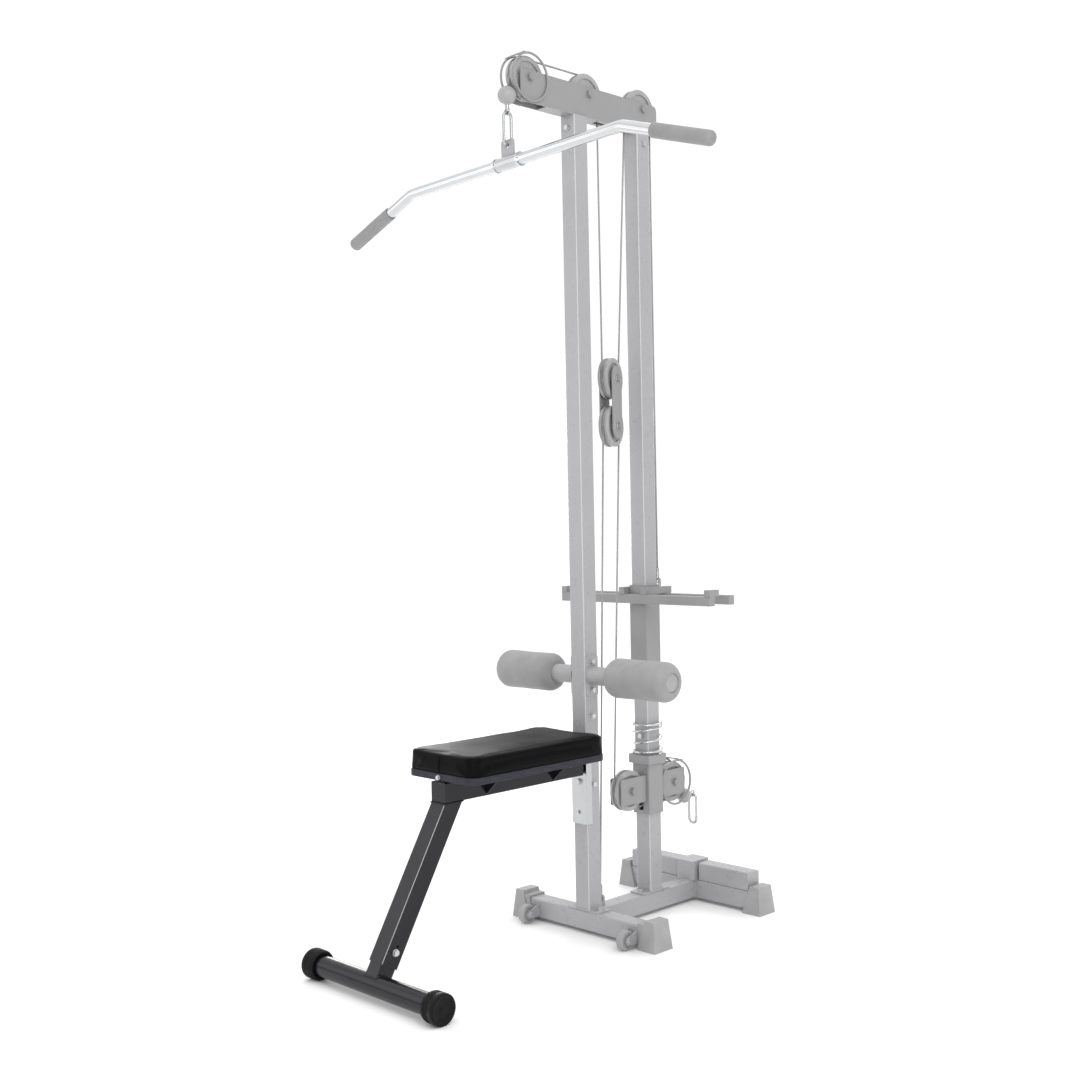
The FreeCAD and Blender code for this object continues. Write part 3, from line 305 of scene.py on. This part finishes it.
def ring_faces(rings, count, closed=False):
    """Quads between rings of count vertices each, laid one after another."""
    faces = []
    for i in range(rings if closed else rings - 1):
        a, b = i * count, (i + 1) % rings * count
        for j in range(count):
            k = (j + 1) % count
            faces.append((a + j, a + k, b + k, b + j))
    return faces


def across(direction):
    """Two unit vectors square to direction and to each other."""
    direction = direction.normalized()
    side = direction.cross(Z if abs(direction.z) < 0.9 else X).normalized()
    return side, direction.cross(side)


def lathe(name, start, way, profile, count=96):
    """A turned shape. profile is (distance along way from start, radius) pairs round the whole section."""
    side, up = across(way)
    vertices = []
    for along, radius in profile:
        for j in range(count):
            turn = math.tau * j / count
            vertices.append(start + way * along + (side * math.cos(turn) + up * math.sin(turn)) * radius)
    made = mesh_object(name, vertices, ring_faces(len(profile), count, closed=True))
    clean(made)
    return made


def clean(piece):
    """Merges doubled vertices, drops empty faces and turns every face outward."""
    bm = bmesh.new()
    bm.from_mesh(piece.data)
    bmesh.ops.remove_doubles(bm, verts=bm.verts, dist=1e-6)
    bmesh.ops.dissolve_degenerate(bm, dist=1e-7, edges=bm.edges)
    bmesh.ops.recalc_face_normals(bm, faces=bm.faces)
    bm.to_mesh(piece.data)
    bm.free()


def tube(name, points, radius, count=16, closed=False, radius_at=None):
    """A round tube along points. Its section is carried along without twisting."""
    points = [Vector(p) for p in points]
    total = len(points)
    vertices = []
    side = None
    for i, point in enumerate(points):
        before = points[i - 1] if closed or i else point
        after = points[(i + 1) % total] if closed or i < total - 1 else point
        way = (after - before).normalized()
        if side is None:
            side = across(way)[0]
        side = (side - way * side.dot(way)).normalized()
        up = way.cross(side)
        size = radius_at(i) if radius_at else radius
        for j in range(count):
            turn = math.tau * j / count
            vertices.append(point + (side * math.cos(turn) + up * math.sin(turn)) * size)
    faces = ring_faces(total, count, closed)
    if not closed:
        faces.append(tuple(range(count)))
        faces.append(tuple(range((total - 1) * count, total * count)))
    made = mesh_object(name, vertices, faces)
    clean(made)
    return made


def between(start, end, steps):
    return [Vector(start).lerp(Vector(end), i / steps) for i in range(steps + 1)]


def round_rectangle(centre, half_x, half_y, radius, arc_steps=12, side_steps=24):
    """Points round a rectangle with rounded corners in the XY plane, counterclockwise from its +X side."""
    corners = ((1, 1, 0), (-1, 1, 90), (-1, -1, 180), (1, -1, 270))
    points = []
    for sign_x, sign_y, first in corners:
        middle = Vector((sign_x * (half_x - radius), sign_y * (half_y - radius), 0))
        for i in range(arc_steps + 1):
            turn = math.radians(first + 90 * i / arc_steps)
            points.append(middle + Vector((math.cos(turn), math.sin(turn), 0)) * radius)
    result = []
    for a, b in zip(points, points[1:] + points[:1]):
        steps = side_steps if (b - a).length > 2 * radius else 1
        result.extend(a.lerp(b, i / steps) for i in range(steps))
    return [point + centre for point in result]


# ---- cables ----
def taut_cable(name, start, end, node=None):
    """A straight stretch of sheathed cable from start to end, with rings only at its two ends."""
    made = tube(name, [start, end], CABLE_R)
    finish_with(made, "cable_sheath", None)
    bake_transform(made)
    if node:
        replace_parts(made, node)
    return made


def arc_points(centre, radius, first, last, steps=40):
    """Points on an arc in the YZ plane, from angle first to last, in degrees from +Y towards +Z."""
    turns = [math.radians(first + (last - first) * i / steps) for i in range(steps + 1)]
    return [centre + Vector((0, math.cos(t), math.sin(t))) * radius for t in turns]


def centre_of(node):
    low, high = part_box(node)
    return (low + high) / 2


def end_point(node, at_top):
    """The middle of a cable node's upper or lower end."""
    points = np.array([v.co for v in nodes[node].data.vertices])
    limit = points[:, 2].max() if at_top else points[:, 2].min()
    near = points[abs(points[:, 2] - limit) < 1 * MM]
    return Vector((near.min(0) + near.max(0)) / 2)


top = {name: centre_of("top_pulley_" + name) for name in ("front", "mid", "rear")}
low = {name: centre_of("low_pulley_" + name) for name in ("front", "rear")}
PITCH_R = (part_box("lat_cable_fixed")[1].z - top["mid"].z) - CABLE_R

ball = centre_of("lat_ball")
ball_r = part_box("lat_ball")[1].z - ball.z
# the cable leaves the front pulley along the line from the ball that just touches it
away = top["front"] - ball
lean = math.atan2(away.z, away.y) + math.asin(PITCH_R / away.length)
lean_way = Vector((0, math.cos(lean), math.sin(lean)))
leave = top["front"] + Vector((0, -math.sin(lean), math.cos(lean))) * PITCH_R
over_top = arc_points(top["front"], PITCH_R, 90 + math.degrees(lean), 90)
over_top += between(top["front"] + Z * PITCH_R, top["mid"] + Z * PITCH_R, 20)[1:-1]
over_top += arc_points(top["mid"], PITCH_R, 90, 0)
lat_run = tube("lat_cable_over_front_pulleys", over_top, CABLE_R)
finish_with(lat_run, "cable_sheath", "frame")
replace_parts(lat_run, "lat_cable_fixed")
over_rear = tube("lat_cable_over_rear_pulley", arc_points(top["rear"], PITCH_R, 180, 0, 60), CABLE_R)
finish_with(over_rear, "cable_sheath", "frame")
taut_cable("lat_cable_drop", leave, ball + lean_way * (ball_r - 1 * MM))
for cable_node, fixed_at_top, body in (("lat_cable_mid", True, "float"), ("lat_cable_back", True, "float"),
                                       ("low_cable_front", False, "float"), ("low_cable_back", False, "float"),
                                       ("lat_cable_rear", True, "carriage")):
    taut_cable(cable_node + "_taut", end_point(cable_node, fixed_at_top), end_point(cable_node, not fixed_at_top),
               cable_node)

under_front = tube("low_cable_under_front_pulley", arc_points(low["front"], PITCH_R, 180, 270), CABLE_R)
finish_with(under_front, "cable_sheath", "frame")
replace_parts(under_front, "low_cable_fixed")
row_start = low["front"] - Z * PITCH_R
row_end = Vector((0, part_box("row_ball")[0].y + 2 * MM, row_start.z))
taut_cable("low_cable_to_row_ball", row_start, row_end)


# ---- bumper spring ----
def coil_points(centre, radius, low_z, high_z, pitch, steps_per_turn=64):
    """A compression spring: one closed turn at the bottom, open turns, and one closed turn at the top."""
    wire = 2 * SPRING_WIRE_R
    open_turns = (high_z - low_z - 2 * wire) / pitch
    total = int((open_turns + 2) * steps_per_turn)
    points = []
    for i in range(total + 1):
        turns = i / steps_per_turn
        if turns < 1:
            z = wire * turns
        elif turns < 1 + open_turns:
            z = wire + (turns - 1) * pitch
        else:
            z = wire + open_turns * pitch + (turns - 1 - open_turns) * wire
        angle = math.tau * turns
        points.append(centre + Vector((radius * math.cos(angle), radius * math.sin(angle), low_z + z)))
    return points


spring_low, spring_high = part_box("bumper_spring")
spring_axis = Vector((0, (spring_low.y + spring_high.y) / 2, 0))
spring_r = (spring_high.x - spring_low.x) / 2 - SPRING_WIRE_R
coil_low, coil_high = spring_low.z + SPRING_WIRE_R, spring_high.z - SPRING_WIRE_R
coil = coil_points(spring_axis, spring_r, coil_low, coil_high, SPRING_PITCH)
spring = tube("bumper_coil", coil, SPRING_WIRE_R, 20)
finish_with(spring, "chrome", "frame")
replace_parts(spring, "bumper_spring")


# ---- turned rubber and foam pieces ----
def quarter(along, radius, size, first, last, steps=10):
    """Points of a rounded edge of that size whose centre is at (along, radius)."""
    turns = [math.radians(first + (last - first) * i / steps) for i in range(steps + 1)]
    return [(along + size * math.cos(t), radius + size * math.sin(t)) for t in turns]


def foam_roller(side_name, side):
    """A foam roller with rounded ends, a slight waist and shallow dents."""
    node = "roller_foam_" + side_name
    low_corner, high_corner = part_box(node)
    middle = (low_corner + high_corner) / 2
    length = high_corner.x - low_corner.x
    radius = (high_corner.z - low_corner.z) / 2
    bore = SLEEVE_R + 0.1 * MM
    edge = radius - bore - 1 * MM
    profile = [(0, bore)]
    profile += quarter(edge, radius - edge, edge, 180, 90)
    for i in range(1, 24):
        share = i / 24
        sag = 0.7 * MM * math.sin(math.pi * share) ** 2
        profile.append((edge + (length - 2 * edge) * share, radius - sag))
    profile += quarter(length - edge, radius - edge, edge, 90, 0)
    profile.append((length, bore))
    made = lathe("roller_foam_skin_" + side_name, Vector((low_corner.x, middle.y, middle.z)), X, profile, 128)
    for vertex in made.data.vertices:
        from_axis = Vector((0, vertex.co.y - middle.y, vertex.co.z - middle.z))
        if from_axis.length > bore + 4 * MM:
            dent = noise.noise(vertex.co * 28 + Vector((side, 0, 0))) * 0.6 * MM
            vertex.co += from_axis.normalized() * dent
    finish_with(made, "foam", "roller_" + side_name)
    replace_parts(made, node)


for name, side in (("left", -1), ("right", 1)):
    foam_roller(name, side)


def foot_cap(name, side):
    """A ribbed rubber cap on an end of the seat foot, with a dished end face."""
    low_corner, high_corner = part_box("foot_caps")
    radius = (high_corner.z - low_corner.z) / 2
    start = Vector((side * (high_corner.x - FOOT_CAP), (low_corner.y + high_corner.y) / 2, radius))
    profile = [(0, FOOT_TUBE_R), (0, radius - 5 * MM)]
    profile += quarter(3 * MM, radius - 5 * MM, 3 * MM, 180, 90, 5)
    ribs = 4
    rib_start = 7 * MM
    rib_step = 4.2 * MM
    rib = ((0, 2.2), (0.5, 0.6), (1.1, 0.3), (2.4, 0.3), (3.0, 0.6), (3.4, 2.2))
    for i in range(ribs):
        profile += [(rib_start + i * rib_step + along * MM, radius - depth * MM) for along, depth in rib]
    shoulder = rib_start + ribs * rib_step + 1 * MM
    profile += [(shoulder, radius - 0.8 * MM), (shoulder + 1 * MM, radius)]
    profile += quarter(FOOT_CAP - 5 * MM, radius - 5 * MM, 5 * MM, 90, 0, 8)
    for sunk, inset in ((0.4, 8), (3, 10), (4, 13)):
        profile.append((FOOT_CAP - sunk * MM, radius - inset * MM))
    profile += [(FOOT_CAP - 4 * MM, 5 * MM), (FOOT_CAP - 3.4 * MM, 3 * MM), (FOOT_CAP - 3.2 * MM, THIN)]
    profile += [(FOOT_CAP - 6 * MM, THIN), (FOOT_CAP - 6 * MM, FOOT_TUBE_R)]
    made = lathe("foot_cap_" + name, start, X * side, profile, 96)
    finish_with(made, "black_rubber", "foot")
    return made


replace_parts(foot_cap("left", -1), "foot_caps")
foot_cap("right", 1)


def grip_line(side):
    """The inner end, direction and length of one grip, from the CAD grip's own vertices."""
    points = np.array([v.co for v in nodes["bar_grips"].data.vertices])
    points = points[points[:, 0] * side > 0]
    slope = math.tan(math.radians(GRIP_DROP - side * BAR_TILT))
    way = Vector((side, 0, -slope)).normalized()
    along = points @ np.array(way)
    end_ring = points[along < along.min() + 0.3 * MM]
    start = Vector((end_ring.min(0) + end_ring.max(0)) / 2)
    return start, way, along.max() - along.min()


def bar_grip(name, side):
    """A soft sleeve with shallow rings and a rounded closed tip."""
    start, way, length = grip_line(side)
    tip = 9 * MM
    wall = 3.5 * MM
    step = 5 * MM
    profile = [(0, GRIP_BAR_R), (0, GRIP_R - 1 * MM), (1 * MM, GRIP_R)]
    for i in range(int((length - 40 * MM) / step)):
        at = 12 * MM + i * step
        profile += [(at, GRIP_R), (at + 0.8 * MM, GRIP_R - 0.2 * MM), (at + 1.6 * MM, GRIP_R)]
    profile += quarter(length - tip, GRIP_R - tip, tip, 90, 0, 10)
    profile += [(length, THIN), (length - wall, THIN), (length - wall, GRIP_BAR_R)]
    made = lathe("bar_grip_" + name, start, way, profile, 72)
    finish_with(made, "grip_rubber", "grip_bar")
    return made


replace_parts(bar_grip("left", -1), "bar_grips")
bar_grip("right", 1)


# ---- seat pad ----
def pad_block(name, low_corner, high_corner, shrink, edge):
    """A closed block with rounded corners, a rounded top edge and sides that pull in a little."""
    middle = (low_corner + high_corner) / 2
    half_x = (high_corner.x - low_corner.x) / 2 - shrink
    half_y = (high_corner.y - low_corner.y) / 2 - shrink
    base = low_corner.z
    height = high_corner.z - low_corner.z - shrink
    waist = 0.6 * MM
    rows = [(0, base)]
    rows += [(waist * math.sin(math.pi * i / 6), base + (height - edge) * i / 6) for i in range(1, 7)]
    for angle in range(15, 91, 15):
        turn = math.radians(angle)
        rows.append((edge - edge * math.cos(turn), base + height - edge + edge * math.sin(turn)))
    vertices = []
    for inset, z in rows:
        centre = Vector((middle.x, middle.y, z))
        vertices += round_rectangle(centre, half_x - inset, half_y - inset, PAD_CORNER - inset)
    count = len(vertices) // len(rows)
    faces = ring_faces(len(rows), count)
    faces.append(tuple(range(count)))
    faces.append(tuple(range((len(rows) - 1) * count, len(rows) * count)))
    made = mesh_object(name, vertices, faces)
    clean(made)
    return made


def apply_modifiers(piece):
    """Replaces the piece's mesh by what its modifiers make of it."""
    graph = bpy.context.evaluated_depsgraph_get()
    mesh = bpy.data.meshes.new_from_object(piece.evaluated_get(graph))
    piece.modifiers.clear()
    piece.data = mesh


def remesh(piece, size):
    modifier = piece.modifiers.new("even", "REMESH")
    modifier.mode = "VOXEL"
    modifier.voxel_size = size
    apply_modifiers(piece)


def inflate(piece, pinned_below, pressure, cap):
    """Cloth under pressure for 20 frames. Vertices below pinned_below stay, and none moves more than cap."""
    group = piece.vertex_groups.new(name="held")
    rest = [v.co.copy() for v in piece.data.vertices]
    group.add([i for i, co in enumerate(rest) if co.z < pinned_below], 1.0, "REPLACE")
    cloth = piece.modifiers.new("cloth", "CLOTH")
    settings = cloth.settings
    settings.quality = 6
    settings.mass = 0.3
    settings.tension_stiffness = 30
    settings.compression_stiffness = 30
    settings.shear_stiffness = 10
    settings.bending_stiffness = 2
    settings.vertex_group_mass = "held"
    settings.use_pressure = True
    settings.uniform_pressure_force = pressure
    settings.effector_weights.gravity = 0
    cloth.point_cache.frame_end = 20
    for step in range(1, 21):
        bpy.context.scene.frame_set(step)
    graph = bpy.context.evaluated_depsgraph_get()
    moved = [v.co.copy() for v in piece.evaluated_get(graph).data.vertices]
    piece.modifiers.clear()
    for vertex, before, after in zip(piece.data.vertices, rest, moved):
        step = after - before
        if step.length > cap:
            step = step.normalized() * cap
        vertex.co = before + step
    bpy.context.scene.frame_set(1)


pad_low, pad_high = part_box("seat_pad")
pad_mid = (pad_low + pad_high) / 2
pad = pad_block("seat_cushion", pad_low, pad_high, PAD_SHRINK, PAD_EDGE)
remesh(pad, 4 * MM)
inflate(pad, pad_low.z + 5 * MM, 4.0, 2 * MM)
smoother = pad.modifiers.new("fine", "SUBSURF")
smoother.levels = 1
smoother.render_levels = 1
apply_modifiers(pad)


def upholstery_marks(piece):
    """Soft hollows of the top, and small pleats where the cover turns round the corners."""
    half_x = (pad_high.x - pad_low.x) / 2
    half_y = (pad_high.y - pad_low.y) / 2
    height = pad_high.z - pad_low.z
    for vertex in piece.data.vertices:
        co = vertex.co
        x, y = co.x - pad_mid.x, co.y - pad_mid.y
        up = (co.z - pad_low.z) / height
        corner_x = abs(x) - (half_x - PAD_CORNER)
        corner_y = abs(y) - (half_y - PAD_CORNER)
        if up > 0.9:
            co.z += noise.noise(co * 14) * 0.9 * MM
        if corner_x > 0 and corner_y > 0 and up < 0.9:
            angle = math.atan2(corner_y, corner_x)
            pleat = math.sin(angle * 34) * (1 - up) ** 2 * 0.7 * MM
            out = Vector((x, y, 0)).normalized()
            co += out * pleat
        else:
            co += Vector((x / half_x, y / half_y, 0)) * noise.noise(co * 30) * 0.5 * MM * (1 - up)


upholstery_marks(pad)
finish_with(pad, "vinyl", "frame")
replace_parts(pad, "seat_pad")


def surface_y(piece, x, z, from_y):
    """Where a ray along +Y from from_y meets the piece."""
    hit, location, _, _ = piece.ray_cast(Vector((x, from_y, z)), Y)
    return location.y if hit else from_y


def front_seam(stitch_x, stitch_length):
    """The seam down the middle of the pad's front: two folds side by side and a row of stitches."""
    before_pad = pad_low.y - 30 * MM
    side_top = pad_high.z - PAD_EDGE
    seam_points = []
    for i in range(25):
        z = pad_low.z + 1 * MM + (side_top - pad_low.z - 1 * MM) * i / 24
        seam_points.append(Vector((0, surface_y(pad, 0, z, before_pad), z)))
    for name, side in (("left", -1), ("right", 1)):
        points = [p + Vector((side * 1.1 * MM, 0.1 * MM, 0)) for p in seam_points]
        finish_with(tube("pad_seam_fold_" + name, points, 0.9 * MM, 10), "vinyl", "frame")
    for i in range(8):
        z = pad_low.z + (4 + 5 * i) * MM
        if z + stitch_length >= side_top:
            break
        y = surface_y(pad, stitch_x, z, before_pad)
        arch = []
        for t in range(7):
            out = 0.45 * MM * math.sin(math.pi * t / 6)
            arch.append(Vector((stitch_x, y - out, z + stitch_length * t / 6)))
        finish_with(tube("pad_stitch_%d" % i, arch, 0.35 * MM, 8), "vinyl", "frame")


bpy.context.view_layer.update()
front_seam(3.2 * MM, 3 * MM)


def pad_band():
    """The wrapped edge of the seat board: a band with a rolled lip above and below."""
    board_low, board_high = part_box("seat_board")
    half_x = (pad_high.x - pad_low.x) / 2
    half_y = (pad_high.y - pad_low.y) / 2
    height = board_high.z - board_low.z + 1 * MM
    # how far inside the outline, in mm, and how far up, in sixteenths of the height
    section = ((3.2, 0.0), (0.8, 0.0), (0.2, 0.6), (0.0, 1.6), (0.0, 13.6), (0.3, 15.0), (1.2, 15.8), (3.2, 16.0))
    vertices = []
    for inset, up in section:
        centre = Vector((pad_mid.x, pad_mid.y, board_low.z + height * up / 16))
        vertices += round_rectangle(centre, half_x - inset * MM, half_y - inset * MM, PAD_CORNER - inset * MM)
    count = len(vertices) // len(section)
    made = mesh_object("pad_band", vertices, ring_faces(len(section), count, closed=True))
    clean(made)
    finish_with(made, "board", "frame")


pad_band()


# ---- weld beads ----
def bead(name, points, slot="frame_paint", body="frame", closed=False, size=WELD_R):
    """A painted weld bead with the ripples that the torch leaves."""
    fine = []
    pairs = list(zip(points, points[1:] + points[:1])) if closed else list(zip(points, points[1:]))
    for a, b in pairs:
        steps = max(1, round((Vector(b) - Vector(a)).length / (0.8 * MM)))
        fine.extend(Vector(a).lerp(Vector(b), i / steps) for i in range(steps))
    if not closed:
        fine.append(Vector(points[-1]))

    def ripple(i):
        return size * (0.9 + 0.14 * math.sin(i * 1.6) + 0.08 * noise.noise(fine[i] * 400))

    made = tube("weld_" + name, fine, size, 10, closed, ripple)
    return finish_with(made, slot, body)


def square_loop(centre, half_x, half_y, axis_u=X, axis_v=Y):
    corners = ((-1, -1), (1, -1), (1, 1), (-1, 1))
    return [centre + axis_u * half_x * u + axis_v * half_y * v for u, v in corners]


def circle(centre, radius, axis, steps=40):
    side_way, up_way = across(axis)
    turns = [math.tau * i / steps for i in range(steps)]
    return [centre + (side_way * math.cos(t) + up_way * math.sin(t)) * radius for t in turns]


foot_weld_half = TUBE_HALF + 0.6 * MM
for upright in ("front_upright", "rear_upright"):
    low_corner, high_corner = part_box(upright)
    foot_centre = Vector((0, (low_corner.y + high_corner.y) / 2, low_corner.z + FOOT_PLATE))
    bead(upright + "_foot", square_loop(foot_centre, foot_weld_half, foot_weld_half), closed=True)

# the base rail's two ends, welded on three sides
crossbar_low, crossbar_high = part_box("front_crossbar")
base_z = (crossbar_low.z + crossbar_high.z) / 2
rail_half = TUBE_HALF + 0.5 * MM
around_rail = ((-rail_half, -rail_half), (-rail_half, rail_half), (rail_half, rail_half), (rail_half, -rail_half))
for place, y in (("front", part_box("front_upright")[1].y + PROUD), ("rear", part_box("rear_crossbar")[0].y - PROUD)):
    bead("rail_" + place, [Vector((x, y, base_z + up)) for x, up in around_rail])

roller_axis = centre_of("roller_bar")
for name, side in (("left", -1), ("right", 1)):
    flange_middle = Vector((side * ROLLER_FLANGE_X, roller_axis.y, roller_axis.z))
    bead("roller_flange_" + name, circle(flange_middle, SLEEVE_R + 0.4 * MM, X), closed=True)

bars_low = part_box("carriage_bars")[0]
sleeve_low, sleeve_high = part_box("carriage_sleeve")
for place, y in (("front", sleeve_low.y - PROUD), ("rear", sleeve_high.y + PROUD)):
    across_sleeve = [Vector((x, y, bars_low.z)) for x in (-30 * MM, 30 * MM)]
    bead("carriage_" + place, across_sleeve, body="carriage")

post_weld_half = TUBE_HALF + PROUD
post_top = end_point("seat_post", True) - Z * PROUD
post_loop = square_loop(post_top, post_weld_half, post_weld_half / math.cos(POST_LEAN))
bead("seat_post", post_loop, "seat_frame_paint", closed=True)


def saddle(centre, radius, half, lean, steps=10):
    """The closed line on which a leaning square tube meets a round tube along X."""
    down = Vector((0, -math.sin(lean), -math.cos(lean)))
    out = Vector((0, -math.cos(lean), math.sin(lean)))
    corners = ((-half, -half), (half, -half), (half, half), (-half, half))
    points = []
    for (x0, y0), (x1, y1) in zip(corners, corners[1:] + corners[:1]):
        for i in range(steps):
            share = i / steps
            base_point = centre - down * 80 * MM + X * (x0 + (x1 - x0) * share) + out * (y0 + (y1 - y0) * share)
            reach = base_point - centre
            flat = Vector((0, reach.y, reach.z))
            b = flat.dot(down)
            c = flat.length_squared - radius ** 2
            points.append(base_point + down * (-b - math.sqrt(max(b * b - c, 0))))
    return points


foot_low, foot_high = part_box("foot_caps")
foot_axis = Vector((0, (foot_low.y + foot_high.y) / 2, (foot_low.z + foot_high.z) / 2))
foot_weld = saddle(foot_axis, FOOT_TUBE_R + 0.2 * MM, FOOT_INNER_HALF, POST_LEAN)
bead("seat_foot", foot_weld, "seat_frame_paint", "foot", True)


# ---- floor, light and camera ----
def area_light(name, place, target, size, power):
    """A rectangular lamp at place that faces target."""
    data = bpy.data.lights.new(name, "AREA")
    data.shape = "RECTANGLE"
    data.size, data.size_y = size
    data.energy = power
    lamp = bpy.data.objects.new(name, data)
    lamp.location = place
    lamp.rotation_euler = (Vector(target) - Vector(place)).to_track_quat("-Z", "Y").to_euler()
    bpy.context.scene.collection.objects.link(lamp)
    return lamp


FLOOR = 20.0
floor_vertices = [(-FLOOR, -FLOOR, 0), (FLOOR, -FLOOR, 0), (FLOOR, FLOOR, 0), (-FLOOR, FLOOR, 0)]
floor = mesh_object("floor", floor_vertices, [(0, 1, 2, 3)])
pale = (0.97, 0.97, 0.97)
floor_shader = Shader("pale_floor", pale, 0.9, gloss=0.1)
floor_shader.tint(floor_shader.mapped(floor_shader.noise(0.6, 2), 0, 1), scaled(pale, 0.995), scaled(pale, 1.005))
floor.data.materials.append(floor_shader.material)


def studio_world(horizon, zenith, backdrop):
    """Soft light that grows from the horizon to the zenith, with a plain white backdrop behind the object."""
    world = bpy.data.worlds.new("studio")
    world.use_nodes = True
    tree = world.node_tree
    background = tree.nodes["Background"]
    background.inputs["Color"].default_value = (1, 1, 1, 1)
    place = tree.nodes.new("ShaderNodeTexCoord").outputs["Generated"]
    split = tree.nodes.new("ShaderNodeSeparateXYZ")
    tree.links.new(place, split.inputs["Vector"])
    rise = tree.nodes.new("ShaderNodeMapRange")
    for key, value in (("From Min", 0.0), ("From Max", 0.75), ("To Min", horizon), ("To Max", zenith)):
        rise.inputs[key].default_value = value
    tree.links.new(split.outputs["Z"], rise.inputs["Value"])
    choose = tree.nodes.new("ShaderNodeMix")
    choose.data_type = "FLOAT"
    choose.inputs[3].default_value = backdrop
    tree.links.new(tree.nodes.new("ShaderNodeLightPath").outputs["Is Camera Ray"], choose.inputs[0])
    tree.links.new(rise.outputs["Result"], choose.inputs[2])
    tree.links.new(choose.outputs[0], background.inputs["Strength"])
    bpy.context.scene.world = world


studio_world(0.60, 1.30, 1.05)
area_light("key", (3.2, -1.2, 3.6), (0, 0, 1.0), (2.0, 2.0), 35)
area_light("fill", (-3.0, -3.0, 2.2), (0, 0, 0.9), (1.6, 3.0), 15)
area_light("back", (-1.0, 3.2, 3.4), (0, 0, 1.0), (2.5, 2.0), 30)
area_light("sheen", (-4.3, 2.5, 1.5), (0, -0.3, 0.54), (1.2, 1.2), 40)
edge_strip = area_light("edge_strip", (3.1, -3.1, 1.3), (0, 0, 1.1), (0.3, 3.0), 30)
edge_strip.visible_diffuse = False
bpy.context.scene.view_settings.view_transform = "Standard"

CAMERA_PLACE = (2.5209, -2.4932, 1.0950)
YAW, PITCH, ROLL = (math.radians(angle) for angle in (45.505, -0.937, -1.132))
forward = Vector((-math.sin(YAW) * math.cos(PITCH), math.cos(YAW) * math.cos(PITCH), math.sin(PITCH)))
level_right = forward.cross(Z).normalized()
level_up = level_right.cross(forward)
right = level_right * math.cos(ROLL) + level_up * math.sin(ROLL)
up = level_up * math.cos(ROLL) - level_right * math.sin(ROLL)
lens = bpy.data.cameras.new("camera")
lens.lens = 46.21
lens.sensor_width = 36.0
lens.clip_start = 0.05
camera = bpy.data.objects.new("camera", lens)
turned = Matrix((right, up, -forward)).transposed().to_4x4()
camera.matrix_world = Matrix.Translation(CAMERA_PLACE) @ turned
bpy.context.scene.collection.objects.link(camera)
bpy.context.scene.camera = camera
